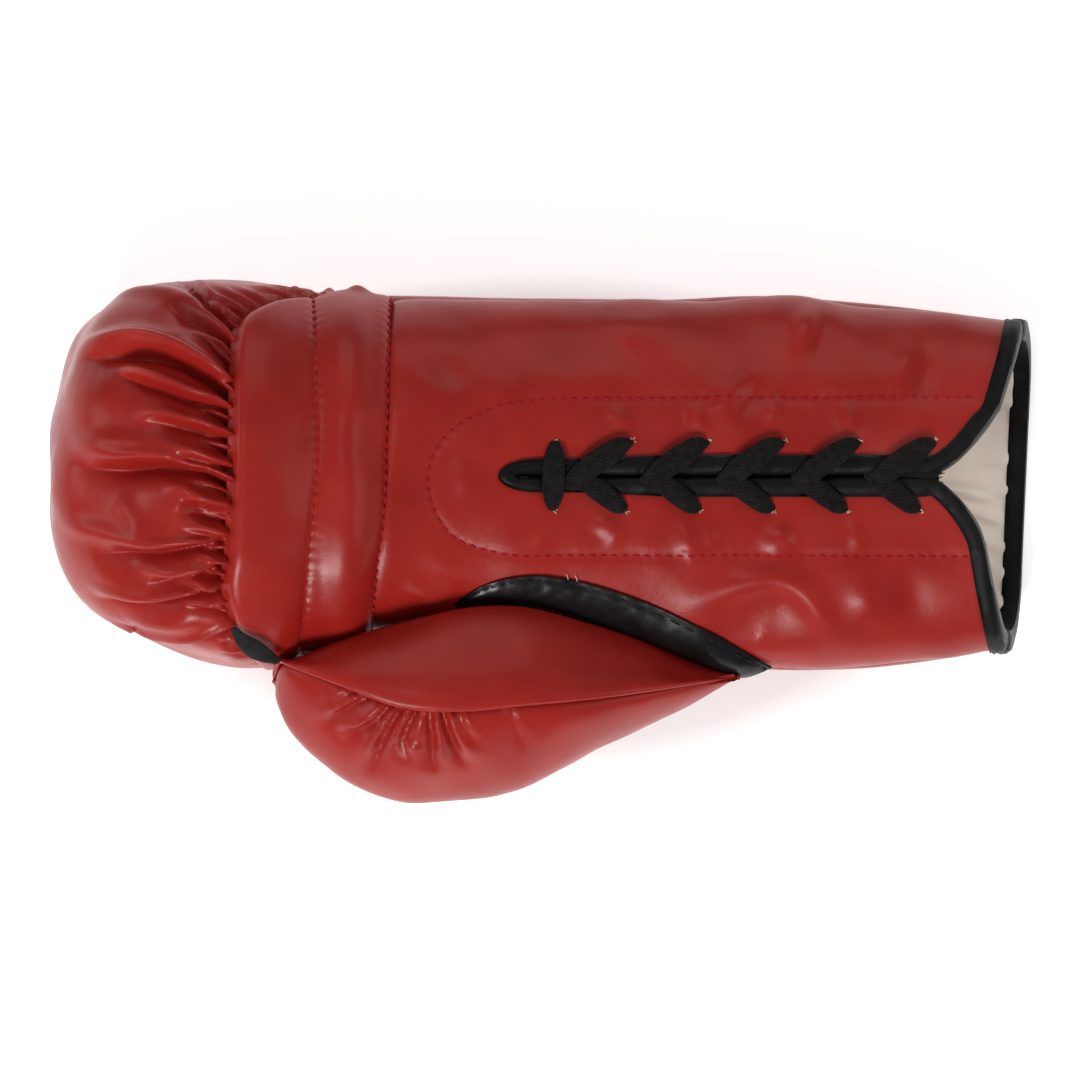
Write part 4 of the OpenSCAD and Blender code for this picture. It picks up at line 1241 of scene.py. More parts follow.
def lining_fold(plan, height, width):
    """A fold over the back of the hand space, by plan points"""
    p = evenly(plan, PATH_STEP)
    t = inside.t_of(p[:, 0], p[:, 1])
    v = -inside.v_of(t, p[:, 1], BACK_ROUNDNESS)
    return Ridge(inside.point(t, v), height, width, fade=0.3, open_end=True)


lining_folds = [lining_fold(*fold) for fold in LINING_FOLDS]


def lining_points(t, v):
    """The lining's face towards the hand, with slack folds"""
    t, v = np.broadcast_arrays(t, v)
    base = inside.point(t, v)
    flat = base.reshape(-1, 3)
    long_way = flat * np.array([0.35, 1, 1])
    height = 0.55 * noise(long_way, 11, 61) + 0.5 * noise(flat, 30, 62)
    height += 0.5 * noise(long_way, 7, 63) * smooth(flat[:, 0], 60, 100)
    height += add_up(flat, [], lining_folds)
    height = np.maximum(height + 0.6, 0) * smooth(inside.last - t.reshape(-1), 0.02, 0.2)
    return base - inside.normal(t, v) * height.reshape(t.shape)[..., None]


def lining_sheet(name, t, v, keep=None, closed=False, poles=(False, False)):
    points = lining_points(t, v)
    normals = open_tube_normals(points, BAG_ROWS - 1, BAG_COLUMNS) if closed else grid_normals(points)
    return slab(name, points + normals * LINING_T, points, cotton, keep, closed, poles, normals)


def make_hand_lining():
    """The lining of the fingers and the back of the hand"""
    v = np.concatenate([inside.angles(10, SIDE, FAR_SIDE, BAG_COLUMNS),
                        inside.angles(10, FAR_SIDE, ROUND_TO_SIDE, 130)[1:-1]])
    end = row_t(ROW_2, np.minimum(v, math.pi))
    t = np.concatenate([end * np.linspace(0, 1, BAG_ROWS)[:, None],
                        mix(end, hem_from_side(v), np.linspace(0, 1, 110)[1:, None])])
    keep = np.ones((len(t) - 1, len(v)), bool)
    keep[BAG_ROWS - 1:, :BAG_COLUMNS - 1] = False
    v = np.broadcast_to(v, t.shape)
    return lining_sheet("finger_and_back_lining", t, v, keep, True, (True, False))


def foam_between(name, t, v, depth, lift=1.6, closed=False, poles=(False, False), keep=None):
    """Padding from this far below the leather's plain surface to this far above the lining"""
    top = outside.point(t, v) - outside.normal(t, v) * np.asarray(depth)[..., None]
    bottom = inside.point(t, v) + inside.normal(t, v) * lift
    return slab(name, top, bottom, foam, keep, closed, poles)


def make_foams():
    """The glove's padding, by the node of the CAD that each piece replaces"""
    full_turn = np.linspace(0, 2 * math.pi, 96, endpoint=False)
    back_t = np.linspace(5.85, 16.9, 70)[:, None]
    back_v = np.linspace(math.pi - 0.05, 2 * math.pi + 0.05, 60)
    # Deeper under the gathers, whose creases reach further in than the back's leather does
    back_depth = np.interp(back_t, [8.0, 9.5], [5.5, 3.0])
    cushion_t, cushion_v, cushion_cells = (grid[2::2, 1:-1] for grid in (palm_t, palm_v, palm_cells))
    return {
        "knuckle_foam": foam_between("knuckle_padding", np.linspace(0, 5.7, 44)[:, None], full_turn, 9.0,
                                     closed=True, poles=(True, False)),
        "back_foam": foam_between("back_padding", back_t, back_v, back_depth),
        "finger_pad": foam_between("finger_padding", np.linspace(6.1, 7.6, 16)[:, None],
                                   np.linspace(0.25, math.pi - 0.25, 50), 4.2),
        "grip_roll": foam_between("grip_roll_padding", np.linspace(8.15, 9.5, 16)[:, None],
                                  np.linspace(0.35, math.pi - 0.4, 50), 3.0),
        "palm_padding": foam_between("palm_cushion", cushion_t, cushion_v, 2.7, 1.4,
                                     keep=cushion_cells[:cushion_t.shape[0] - 1]),
    }


# ---- Bindings ----
BINDING_W = 4.2
# How far short of the fold line a flap's tape ends
FOLD_GAP = 0.05
# The places of a tape's section across it, in sixteenths
TAPE_ACROSS = np.array([0, .5, 1.3, 2.5, 3.9, 5, 6.5, 9, 10.5, 11.6, 13, 14.2, 15, 15.5, 10, 5])


def fold_tape(name, edge, inner, seed, swell=1.25, shift=None):
    """Tape folded over an edge: (t, v) places on the edge, and further in"""
    a, b = leather(*inner), leather(*edge)
    c, d = inside.point(*edge), inside.point(*inner)
    if shift is not None:
        a, b, c, d = a + shift, b + shift, c + shift, d + shift
    swell = np.broadcast_to(swell, len(a))[:, None]
    out, into = outside.normal(*edge), -inside.normal(*edge)
    push = unit(b - a)
    ripple = (1 + 0.16 * noise(b, 7, seed) + 0.08 * noise(b, 3, seed + 1))[:, None]
    rings = np.stack([
        a + out * 0.1, a + out * 0.8 * ripple, mix(a, b, 0.2) + out * 0.45,
        mix(a, b, 0.45) + out * 1.0 * ripple, mix(a, b, 0.85) + out * 1.1 * ripple,
        b + out * 0.7 + push * 0.6 * swell,
        mix(b, c, 0.25) + push * swell, mix(b, c, 0.75) + push * swell,
        c + into * 0.7 + push * 0.6 * swell, mix(d, c, 0.85) + into * 1.05 * ripple,
        mix(d, c, 0.5) + into * 1.1 * ripple, mix(d, c, 0.2) + into * 0.95 * ripple,
        d + into * 0.55 * ripple, d + into * 0.1,
        c + into * 0.1 + push * 0.1, b + out * 0.1 + push * 0.1], axis=1)
    sweep = Sweep()
    sweep.add(rings[:, ::-1], TAPE_ACROSS[::-1])
    return sweep.build(name, satin, sharp=55)


def flap_binding_places(flap):
    """The edge that a flap's tape goes over, and the tape's other edge on the leather"""
    y = SLIT_Y + INWARD[flap] * SLIT_HALF
    plan = evenly([(8, y), (40, y), (75, y), (105, y), (117, y)] + HEM[flap], 1.2)
    way = unit(np.gradient(plan, axis=0))
    square = np.stack([-way[:, 1], way[:, 0]], axis=1) * INWARD[flap]
    for _ in range(6):
        square[1:-1] = (square[:-2] + 2 * square[1:-1] + square[2:]) / 4
    width = BINDING_W - 1.3 * (1 - smooth(plan[:, 0], 8, 45))
    inner = plan + unit(square) * width[:, None]
    limit = FOLD_Y[flap] - INWARD[flap] * FOLD_GAP
    at_fold = smooth(np.abs(plan[:, 1] - FOLD_Y[flap]), 7, 1)[:, None]
    inner = mix(inner, plan + np.array([-BINDING_W, -INWARD[flap] * FOLD_GAP]), at_fold)
    inner[:, 1] = np.minimum(inner[:, 1], limit) if flap == "upper" else np.maximum(inner[:, 1], limit)
    inner[:, 0] = np.maximum(inner[:, 0], FLAP_START_X)
    return outside.place(*plan.T), outside.place(*inner.T)


def make_flap_tape(flap):
    """The tape of one flap, fuller along the slit, where the two flaps' tapes nearly meet"""
    edge, inner = flap_binding_places(flap)
    x = outside.point(*edge)[:, 0]
    return fold_tape(f"{flap}_flap_tape", edge, inner, 85, mix(2.15, 1.25, smooth(x, 114, 124)))


def slit_end_places():
    """The slit's pointed end, as two half ellipses, and its straight sides up to the flaps"""
    turn = np.radians(np.linspace(90, 270, 26))
    reach = SLIT_HALF + 2.9
    middle = SLIT_END_X + 7.4
    paths = []
    for long_way, half in ((8.6, SLIT_HALF), (12.5, reach)):
        point_end = np.stack([middle + np.cos(turn) * long_way, SLIT_Y + np.sin(turn) * half], axis=1)
        straight = np.linspace(FLAP_START_X - 0.1, middle + 0.5, 9)
        upper_line, lower_line = (np.stack([straight, np.full(9, SLIT_Y + side * half)], axis=1)
                                  for side in (1, -1))
        paths.append(np.concatenate([upper_line, point_end, lower_line[::-1]]))
    edge, inner = paths
    return outside.place(*edge.T), outside.place(*inner.T)


# How far the back's tape runs on under the flaps' tapes at the folds
TAPE_LAP = 0.7


def cuff_back_places():
    """The hem round the back from fold to fold, and the tape's other edge on the leather"""
    upper_side = slice(0, SIDE_COLUMNS)
    lower_side = slice(first_of["lower_side"] - 1, None)
    t = [palm_t[-1, upper_side][::-1]]
    v = [palm_v[-1, upper_side][::-1]]
    under = outside.angles(outside.last, -math.pi - SIDE, SIDE, 150)[::-1][1:-1]
    t.append(back_hem_t(under + 2 * math.pi))
    v.append(under)
    t.append(palm_t[-1, lower_side][::-1])
    v.append(palm_v[-1, lower_side][::-1] - 2 * math.pi)
    laps = []
    for flap in ("upper", "lower"):
        y = FOLD_Y[flap] - INWARD[flap] * TAPE_LAP
        lap_t = np.atleast_1d(hem_t(flap, y))
        laps.append((lap_t, outside.v_of(lap_t, y)))
    t = np.concatenate([laps[0][0]] + t + [laps[1][0]])
    v = np.concatenate([laps[0][1]] + v + [laps[1][1] - 2 * math.pi])
    step = 0.1
    speed = np.linalg.norm(outside.point(t, v) - outside.point(t - step, v), axis=1) / step
    return (t, v), (t - BINDING_W / speed, v)


def make_cuff_back_tape():
    """The tape round the cuff, which stands out a little further under the back of the hand"""
    edge, inner = cuff_back_places()
    shift = np.zeros((len(edge[0]), 3))
    shift[:, 0] = 2.2 * smooth(np.clip(-np.sin(edge[1]), 0, 1), 0, 0.9)
    return fold_tape("cuff_back_tape", edge, inner, 83, shift=shift)


# ---- Lace ----
LACE_W = 6.4
LACE_T = 1.1
EYELET_PAIRS = 6
# One run of the lace over a flap: x from its eyelet, y from the slit's middle, lift, width
LEAF = {
    "upper": [(-19.3, -3.0, 0.6, 5.0), (-16.6, -0.6, 2.4, 6.6), (-12.5, 3, 3.1, 7.3), (-8, 6, 2.9, 7.3),
              (-3.6, 8.8, 1.9, 6.2), (-0.8, 10.1, 0.6, 3.6)],
    "lower": [(-15.5, 1.2, -0.6, 4.6), (-13.2, -0.8, 1.4, 6.0), (-10, -3.4, 2.4, 6.6),
              (-6.6, -6, 2.5, 6.6), (-2.8, -8.8, 1.7, 5.8), (-0.7, -10.1, 0.6, 3.6)],
}
# A run's foot: its height above the leather, and how far inside the lining it comes out
FOOT_LIFT = -1.8
FOOT_DROP = 1.0


def eyelet(flap, i):
    """Plan point of a flap's eyelet, counted from the closed end of the slit"""
    return (4 + 23.5 * i, SLIT_Y + 10.5) if flap == "upper" else (3.3 + 22.7 * i, SLIT_Y - 10.5)


def over(plan, lift):
    """Points this far above the leather at plan points"""
    p = np.atleast_2d(plan)
    return leather(*outside.place(p[:, 0], p[:, 1]), lift=np.broadcast_to(lift, len(p)))


def under(plan, drop):
    """Points this far inside the lining at plan points"""
    p = np.atleast_2d(plan)
    t, v = outside.place(p[:, 0], p[:, 1])
    return inside.point(t, v) - inside.normal(t, v) * np.broadcast_to(drop, len(p))[:, None]


def ribbon(sweep, points, ups, widths, crown=0.35):
    """A flat woven lace along points, crown higher along its middle"""
    points, ups = np.asarray(points, float), np.asarray(ups, float)
    data = evenly(np.concatenate([points, ups * 30, np.asarray(widths, float)[:, None] * 10], axis=1), 1)
    run = lengths(data[:, :3])
    at = np.linspace(0, run[-1], max(8, int(run[-1] / 0.8)))
    data = np.stack([np.interp(at, run, data[:, k]) for k in range(7)], axis=1)
    p, up, width = data[:, :3], unit(data[:, 3:6]), data[:, 6] / 10
    way = unit(np.gradient(p, axis=0))
    side = unit(np.cross(way, up))
    up = unit(np.cross(side, way))
    turn = np.linspace(0, 2 * np.pi, 16, endpoint=False) + np.pi / 2
    across = np.sign(np.cos(turn)) * np.abs(np.cos(turn)) ** 0.7
    high = np.sign(np.sin(turn)) * np.abs(np.sin(turn)) ** 0.7 * LACE_T / 2 + crown * (1 - across ** 2)
    rings = (p[:, None] + side[:, None] * (across[None, :, None] * width[:, None, None] / 2)
             + up[:, None] * high[None, :, None])
    sweep.add(rings, across * LACE_W / 2)


def lace_leaf(sweep, flap, i):
    """One run from the slit, over the flap to its eyelet, and on inside"""
    sign = INWARD[flap]
    eye = np.array(eyelet(flap, i))
    leaf = np.array(LEAF[flap])
    points = list(over(np.stack([eye[0] + leaf[:, 0], SLIT_Y + leaf[:, 1]], axis=1), leaf[:, 2]))
    points += [over(eye, FOOT_LIFT)[0], under(eye, FOOT_DROP)[0]]
    ups = [(0, -0.15 * sign, 1)] * len(leaf) + [(-0.6, 0.4 * sign, 0.5), (-1, 0.2 * sign, 0.1)]
    widths = [*leaf[:, 3], 2.4, 2.4]
    if i < EYELET_PAIRS - 1:
        ahead = np.array((eye[0] + 9, SLIT_Y + sign * 4))
        points += list(under([mix(eye, ahead, f) for f in (0.25, 0.6, 1)], [2.0, 2.2, 2.2]))
        ups += [(0, 0, -1)] * 3
        widths += [4.4, 5.4, 4.0]
    ribbon(sweep, points, ups, widths)


def lace_bar():
    """The lace's straight run across the closed end of the slit, and its ends inside"""
    sweep = Sweep()
    low_eye, high_eye = np.array(eyelet("lower", 0)), np.array(eyelet("upper", 0))
    plan = [mix(low_eye, high_eye, f) for f in (0.04, 0.16, 0.33, 0.5, 0.67, 0.84, 0.96)]
    points = list(over(plan, [0.6, 1.7, 2.5, 2.7, 2.5, 1.7, 0.6]))
    widths = [3.6, 5.8, 6.9, 6.9, 6.9, 5.8, 3.6]
    ups = [(0, 0, 1)] * len(plan)
    for eye, sign in ((low_eye, -1), (high_eye, 1)):
        inner = under([eye + (3, -2 * sign), eye + (8, -6 * sign)], [2.0, 2.2])
        chain = [over(eye, FOOT_LIFT)[0], under(eye, FOOT_DROP)[0], *inner]
        chain_ups = [(0, sign, 0.6), (0, sign, 0.1), (0, 0, -1), (0, 0, -1)]
        chain_widths = [2.4, 2.4, 4.4, 5.0]
        if sign < 0:
            points = chain[::-1] + points
            ups = chain_ups[::-1] + ups
            widths = chain_widths[::-1] + widths
        else:
            points, ups, widths = points + chain, ups + chain_ups, widths + chain_widths
    ribbon(sweep, points, ups, widths)
    return sweep.build("lace_bar", lace_cloth)


# The lace's tails, which lie inside the glove: distances along them, and how far inside the lining
TAIL_POINTS = (0, 10, 22, 36, 48)
TIP_ENDS = (48.4, 62.4)
TAIL_DROP = 3.5
TAIL_W = LACE_W - 1
# The tip: shares of its length, and radii
TIP_PROFILE = [(0, 1.2), (0.02, 1.5), (0.05, 1.5), (0.07, 1.25), (0.9, 1.15), (0.97, 0.95), (1, 0.6)]


def tail_path(flap, distances):
    ex, ey = eyelet(flap, EYELET_PAIRS - 1)
    return under([(ex - d - 2, ey + INWARD[flap] * (0.2 * d + 1)) for d in distances], TAIL_DROP)


def add_frayed_end(sweep):
    """The lace's cut end, tucked between the flaps at the hem, and its loose fibres"""
    plan = [(107, SLIT_Y + 0.4), (113, SLIT_Y + 0.2), (118, SLIT_Y + 0.5), (122.5, SLIT_Y + 1.2)]
    ribbon(sweep, over(plan, [-1.2, -0.9, -0.6, -1.0]), [(0, 0, 1)] * 4, [4.0, 5.6, 6.4, 6.8])
    draws = np.random.default_rng(17)
    for k in range(16):
        side = mix(-3.2, 3.2, k / 15)
        start = np.array([121.8, SLIT_Y + 1.1 + side])
        end = start + (draws.uniform(1.2, 3.2), draws.uniform(-0.8, 0.8))
        middle = mix(start, end, 0.5) + (0, draws.uniform(-0.4, 0.4))
        add_thread(sweep, over([start, middle, end], [-1.0, -0.9, draws.uniform(-1.6, -0.4)]),
                   np.array([0.3, 0.26, 0.12]))


def make_eyelet_fibres(flap):
    """Short torn fibres of the canvas at the eyelets"""
    sweep = Sweep()
    draws = np.random.default_rng(23 if flap == "upper" else 24)
    for i in range(EYELET_PAIRS):
        ex, ey = eyelet(flap, i)
        for _ in range(4):
            start = np.array([ex + draws.uniform(0.1, 1.3), ey + INWARD[flap] * draws.uniform(0.2, 1.0)])
            end = start + draws.uniform(-0.8, 0.8, 2)
            add_thread(sweep, over([start, mix(start, end, 0.5), end], [0.1, 0.4, 0.3]),
                       np.array([0.12, 0.14, 0.07]))
    return sweep.build(f"{flap}_eyelet_fibres", canvas)


def make_lace(flap):
    """The flap's lace runs, and its tail and tip inside the glove"""
    runs, tail, tip = Sweep(), Sweep(), Sweep()
    for i in range(1, EYELET_PAIRS):
        lace_leaf(runs, flap, i)
    if flap == "upper":
        add_frayed_end(runs)
    ribbon(tail, tail_path(flap, TAIL_POINTS), [(0, 0, 1)] * 5, [TAIL_W] * 5, crown=0.15)
    ends = tail_path(flap, TIP_ENDS)
    way = unit(ends[1] - ends[0])
    side = unit(np.cross(way, (0, 0, 1)))
    shares, radii = np.array(TIP_PROFILE).T
    tip.add(round_rings(mix(ends[0], ends[1], shares[:, None]), side[None], np.cross(side, way)[None],
                        radii, 16))
    return (runs.build(f"{flap}_lace_leaves", lace_cloth),
            tail.build(f"{flap}_lace_tail_end", lace_cloth),
            tip.build(f"{flap}_lace_tip", aglet_plastic))


# ---- Stitches ----
STITCH_R = 0.33
# One stitch: shares of its pitch, heights above the leather, and thicknesses
STITCH_SHARES = np.array([0.13, 0.2, 0.35, 0.5, 0.65, 0.8, 0.87])
STITCH_HEIGHTS = np.array([-0.35, 0.0, 0.22, 0.28, 0.22, 0.0, -0.35])
STITCH_SIZES = np.array([0.45, 0.85, 1, 1, 1, 0.85, 0.45]) * STITCH_R


def round_rings(points, side, up, radii, sides=8):
    """Rings of these radii round points, in the plane of side and up"""
    turn = np.linspace(0, 2 * np.pi, sides, endpoint=False)
    return points[:, None] + radii[:, None, None] * (
        np.cos(turn)[None, :, None] * side[:, None] + np.sin(turn)[None, :, None] * up[:, None])


def add_stitches(sweep, t, v, part="palm"):
    """Threads along a path of places"""
    run = lengths(outside.point(t, v))
    count = int(run[-1] / STITCH_PITCH)
    at = (np.arange(count)[:, None] + STITCH_SHARES) * run[-1] / count
    t, v = np.interp(at, run, t), np.interp(at, run, v)
    points = leather(t, v, part, np.broadcast_to(STITCH_HEIGHTS, t.shape))
    up = outside.normal(t, v)
    side = unit(np.cross(unit(np.gradient(points, axis=1)), up))
    for k in range(count):
        sweep.add(round_rings(points[k], side[k], up[k], STITCH_SIZES))


def add_thread(sweep, points, radii):
    """One thread along points"""
    way = unit(np.gradient(points, axis=0))
    side = unit(np.cross(way, (0, 0, 1)))
    sweep.add(round_rings(points, side, np.cross(side, way), radii))


def make_grip_stitches():
    sweep = Sweep()
    for table, v_low, v_high in ((ROW_1, 0.34, 2.7), (ROW_2, 0.16, 2.75)):
        v = np.linspace(v_low, v_high, 400)
        add_stitches(sweep, row_t(table, v), v, "grip")
    return sweep.build("grip_stitching", thread)


def make_facing_stitches():
    sweep = Sweep()
    add_stitches(sweep, *outside.place(*evenly(FACING, 0.7).T))
    return sweep.build("facing_stitching", thread)


# ---- The strip and the tether ----
# The strip's two edges: x, y and how far it stands off the palm
STRIP = [
    [(-27, -19.0, 0.6), (-23, -23, 0.6)],
    [(-18.5, -13.2, 0.9), (-14, -20.8, 0.6)],
    [(-6.8, -10.2, 1.0), (-3.3, -20, 0.8)],
    [(6, -10.9, 1.0), (7, -22.6, 0.8)],
    [(24.6, -15.8, 1.0), (20, -27.5, 0.9)],
    [(46.3, -24.6, 1.0), (41, -36.2, 1.6)],
    [(60, -32, 1.0), (52, -38.2, 3.6)],
    [(71.5, -38.4, 1.0), (60.5, -38.9, 4.4)],
]
# Where its two rows of stitches run, as shares of its width, and how many stitches each has
STRIP_ROWS = (0.12, 0.88)
STRIP_STITCHES = 30


def strip_points(f, share, lift):
    """Points on the strip, by shares of its length and of its width"""
    edges = np.array(STRIP, float)
    at = np.asarray(f) * (len(STRIP) - 1)
    p = mix(spline(edges[:, 0], at), spline(edges[:, 1], at), np.asarray(share)[..., None])
    return leather(*outside.place(p[..., 0], p[..., 1]), lift=p[..., 2] + lift)


def make_strip():
    """The glossy strip, domed across, with a groove along each row of stitches"""
    f, share = np.meshgrid(np.linspace(0, 1, 110), np.linspace(0, 1, 19), indexing="ij")
    lift = 0.7 * np.sin(np.pi * np.clip(share, 0.02, 0.98)) ** 0.5
    for groove in STRIP_ROWS:
        lift -= 0.2 * bell(share - groove, 0.04)
    flat = strip_points(f, share, 0).reshape(-1, 3)
    lift += 0.16 * noise(flat, 14, 71).reshape(f.shape) + 0.06 * noise(flat, 5, 72).reshape(f.shape)
    top, bottom = strip_points(f, share, lift), strip_points(f, share, -0.5)
    if np.mean(grid_normals(top)[..., 2]) < 0:
        top, bottom = top[:, ::-1], bottom[:, ::-1]
    return slab("glossy_seam_strip", top, bottom, vinyl)


def make_strip_stitches():
    sweep = Sweep()
    for share in STRIP_ROWS:
        for k in range(STRIP_STITCHES):
            f = (k + np.array([0.16, 0.3, 0.5, 0.7, 0.84])) / STRIP_STITCHES
            points = strip_points(f, np.full(5, share), np.array([0.2, 0.4, 0.44, 0.4, 0.2]))
            add_thread(sweep, points, np.array([0.5, 1, 1, 1, 0.5]) * 0.22)
    return sweep.build("strip_stitching", thread_dark)


def make_strip_edge():
    """The pale cut edge that shows along the strip's lower side, and two loose thread ends"""
    sweep = Sweep()
    f = np.linspace(0.24, 0.74, 60)
    draws = np.random.default_rng(31)
    points = strip_points(f, np.ones(60), 0.25) + draws.uniform(-0.06, 0.06, (60, 3))
    add_thread(sweep, points, 0.26 + 0.1 * np.sin(np.arange(60) * 1.9))
    for x, y in ((8.2, -10.9), (11.0, -11.4)):
        plan = [(x, y - 0.6), (x - 0.2, y + 0.4), (x - 0.6, y + 1.3)]
        add_thread(sweep, over(plan, [0.8, 1.4, 1.0]), np.array([0.1, 0.12, 0.08]))
    return sweep.build("strip_cut_edge", canvas)


TETHER = [(-95, -26.6, 88.7), (-92, -30.4, 87.2), (-88.4, -33.2, 85.6), (-84.8, -35.3, 82.6),
          (-81, -36.9, 79)]


def make_tether():
    sweep = Sweep()
    ribbon(sweep, TETHER, [(0.1, -0.4, 1)] * 5, [1.8, 4.6, 6.2, 4.8, 2.0], crown=0.1)
    return sweep.build("tether_tab", webbing)


# ---- Camera, light and floor: lights and floor in metres ----
PHOTO_WIDTH = 335.7
CAMERA_HEIGHT = 4000.0
OBJECT_HEIGHT = 60.0
SENSOR = 36
SKY = 0.25
# Area lights: name, place, what each points at, size, watts
AREA_LIGHTS = [
    ("key", (-0.45, -1.2, 1.4), (0, 0, 0.03), (0.65, 0.5), 29),
    ("back_fill", (0.2, 1.3, 1.0), (0, 0, 0.03), (1.5, 0.8), 5),
    ("left_fill", (-1.6, 0.3, 0.8), (0, 0, 0.03), (0.7, 0.7), 5),
    ("right_fill", (1.5, -0.1, 1.0), (0, 0, 0.03), (0.9, 0.9), 4),
    ("top", (-0.1, 0.35, 1.7), (0, 0, 0), (0.25, 0.25), 1.2),
]
# The narrow light into the cuff's mouth
MOUTH_LIGHT, MOUTH, MOUTH_REACH = (0.15, 0.05, 1.0), (0.136, 0.021, 0.04), 0.024
# The floor's own light, which keeps the glove's shadow faint, and the ellipse where it fades
FLOOR_GLOW = 0.55
GLOW_UNDER_GLOVE = 0.04
GLOVE_FOOTPRINT = (0.15, 0.085)


def make_camera():
    """A camera straight above, far enough away for an almost parallel view"""
    data = bpy.data.cameras.new("camera")
    data.sensor_width = SENSOR
    data.lens = SENSOR * (CAMERA_HEIGHT - OBJECT_HEIGHT) / PHOTO_WIDTH
    data.clip_end = 20
    camera = bpy.data.objects.new("camera", data)
    camera.location = (0, 0, CAMERA_HEIGHT * MM)
    bpy.context.scene.collection.objects.link(camera)
    bpy.context.scene.camera = camera


def hang(light, place, target):
    """Hang a light here, pointing there"""
    lamp = bpy.data.objects.new(light.name, light)
    x, y, z = np.array(target) - np.array(place)
    lamp.location = place
    lamp.rotation_euler = (math.atan2(math.hypot(x, y), -z), 0, math.atan2(-x, y))
    bpy.context.scene.collection.objects.link(lamp)


def make_lights():
    for name, place, target, size, watts in AREA_LIGHTS:
        light = bpy.data.lights.new(name, "AREA")
        light.shape = "RECTANGLE"
        light.size, light.size_y = size
        light.energy = watts
        hang(light, place, target)
    light = bpy.data.lights.new("mouth", "SPOT")
    light.energy = 10
    light.shadow_soft_size = 0.02
    light.spot_size = 2 * math.atan(MOUTH_REACH / math.dist(MOUTH, MOUTH_LIGHT))
    light.spot_blend = 0.5
    hang(light, MOUTH_LIGHT, MOUTH)


def make_world():
    world = bpy.data.worlds.new("studio")
    bpy.context.scene.world = world
    world.use_nodes = True
    set_inputs(world.node_tree.nodes["Background"], {"Color": (1, 1, 1, 1), "Strength": SKY})


def make_floor():
    bpy.ops.mesh.primitive_plane_add(size=6, location=(0, 0, 0))
    floor = bpy.context.object
    floor.name = "floor"
    m = Material("floor", **{"Roughness": 0.9, "Specular IOR Level": 0.1,
                             "Emission Color": (1, 1, 1, 1)})
    near = m.add("ShaderNodeTexGradient", gradient_type="SPHERICAL")
    stretch = (1 / GLOVE_FOOTPRINT[0], 1 / GLOVE_FOOTPRINT[1], 1)
    m.link(m.mapped("Object", stretch), near.inputs["Vector"])
    m.ramp(near.outputs["Fac"], 0.0, 0.25, [FLOOR_GLOW, GLOW_UNDER_GLOVE], "Emission Strength")
    m.ramp(m.noise(3, 3), 0.2, 0.8, [(0.94, 0.94, 0.94), (0.96, 0.96, 0.96)])
    floor.data.materials.append(m.material)


make_camera()
make_world()
make_floor()
make_lights()
bpy.context.scene.view_settings.view_transform = "Standard"


# ---- The pieces, on the bodies they move with ----
def ride(obj, body, node):
    """A piece that moves with this body, and the node of the CAD that it replaces, if any"""
    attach(obj, body)
    if node:
        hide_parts(node)


def lining(obj):
    """Cloth that lies over its padding. The piece is returned unchanged"""
    return obj


PADDED = [
    (make_fist(), 0.8, "glove", "red_leather", "fist_back_shell"),
    (make_grip(), 0.9, "glove", "red_leather", "grip_panel"),
    (leather_sheet("palm_leather", palm_points, palm_normals, palm_cells), 0.6, "glove", "red_leather",
     "palm_panel"),
    (make_thumb_part("thumb_leather", "shell", THUMB_SEAM, PANEL_EDGE, SHELL_COLUMNS), 0.8, "thumb",
     "red_leather", "thumb_shell"),
    (make_thumb_part("thumb_inner_leather", "panel", PANEL_EDGE, THUMB_SEAM + 5, PANEL_COLUMNS), 0.8,
     "thumb", "red_leather", "thumb_inner_panel"),
    (thumb_layer("thumb_padding", foam, THUMB_SEAM, PANEL_EDGE, 40, 5.0, 1.3), 0.9, "thumb", "foam",
     "thumb_foam"),
    (thumb_layer("thumb_inner_padding", foam, PANEL_EDGE + 0.05, THUMB_SEAM + 4.95, 24, 3.2, 1.3), 0.9,
     "thumb", "foam", "thumb_inner_pad"),
]
PADDED += [(padding, 0.9, "glove", "foam", node) for node, padding in make_foams().items()]
for piece, fill, body, slot, node in PADDED:
    ride(piece, body, node)

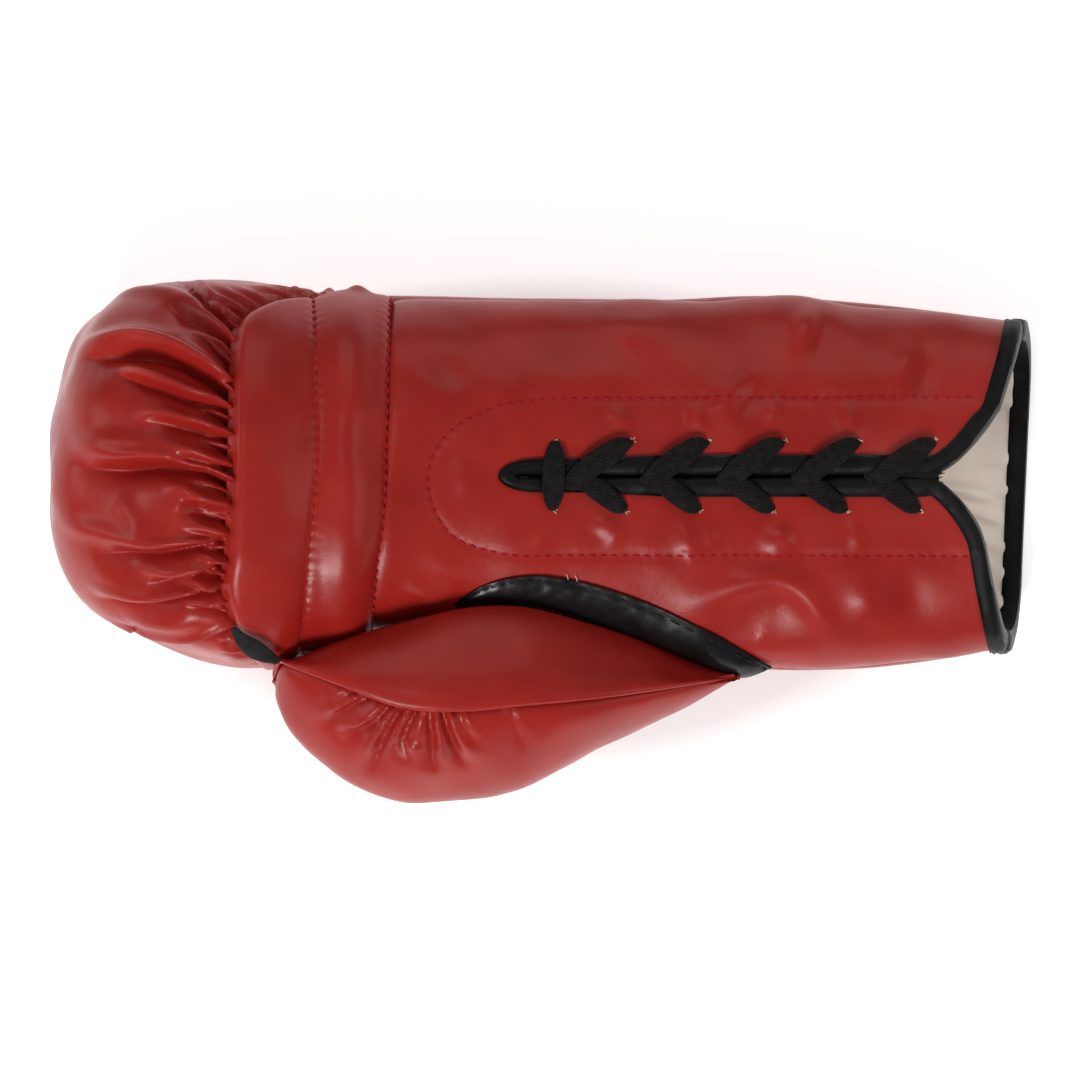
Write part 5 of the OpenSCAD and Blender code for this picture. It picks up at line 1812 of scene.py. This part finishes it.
sleeve = thumb_layer("thumb_sleeve", cotton, 0, 5, 60, 0, 0, closed=True, outer=0.9)
ride(lining(sleeve), "thumb", "thumb_lining")
hand_cloth = make_hand_lining()
ride(lining(hand_cloth), "glove", "hand_lining")
palm_cloth = lining_sheet("palm_side_lining", palm_t, palm_v, palm_cells)
ride(lining(palm_cloth), "glove", "palm_lining")
for piece, slot, node in (
        (fold_tape("slit_end_tape", *slit_end_places(), 81, 2.0), "black_satin", "slit_end_binding"),
        (make_cuff_back_tape(), "black_satin", "cuff_back_binding"),
        (lace_bar(), "black_lace", "lace_end_bar"),
        (make_grip_stitches(), "red_thread", "grip_stitches"),
        (make_facing_stitches(), "red_thread", "facing_stitches"),
        (make_strip(), "black_vinyl", "thumb_seam_strip"),
        (make_strip_stitches(), "red_thread", "strip_stitches"),
        (make_strip_edge(), "foam", None)):
    ride(piece, "glove", node)
tether = make_tether()
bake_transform(tether)
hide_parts("thumb_tether")

# The canvas lies this far below the leather's plain surface, and this far above the lining's
CANVAS_DEPTH, CANVAS_LIFT = 2.2, 1.7


def add_flap(flap):
    """The pieces of a flap. Only its lace's tail and tip ride the flap's body; the rest stay where they
    are built
    """
    runs, tail, tip = make_lace(flap)
    skin = leather_sheet(f"{flap}_flap_skin", palm_points, palm_normals, flap_cells[flap])
    cloth = lining_sheet(f"{flap}_flap_cloth", palm_t, palm_v, flap_cells[flap])
    stiffener = slab(f"{flap}_flap_canvas",
                     outside.point(palm_t, palm_v) - outside.normal(palm_t, palm_v) * CANVAS_DEPTH,
                     inside.point(palm_t, palm_v) + inside.normal(palm_t, palm_v) * CANVAS_LIFT,
                     canvas, flap_cells[flap])
    lining(cloth)
    lining(stiffener)
    for piece, material_slot, node in (
            (skin, "red_leather", "flap_leather"), (cloth, "cotton_lining", "flap_lining"),
            (stiffener, "foam", "flap_facing"), (make_flap_tape(flap), "black_satin", "flap_binding"),
            (make_eyelet_fibres(flap), "foam", None), (runs, "black_lace", "lace_runs")):
        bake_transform(piece)
        if node:
            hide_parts(f"{flap}_{node}")
    path = tail_path(flap, TAIL_POINTS) * MM
    ride(tail, f"{flap}_flap", f"{flap}_lace_tail")
    ride(tip, f"{flap}_flap", f"{flap}_lace_aglet")


add_flap("upper")
add_flap("lower")
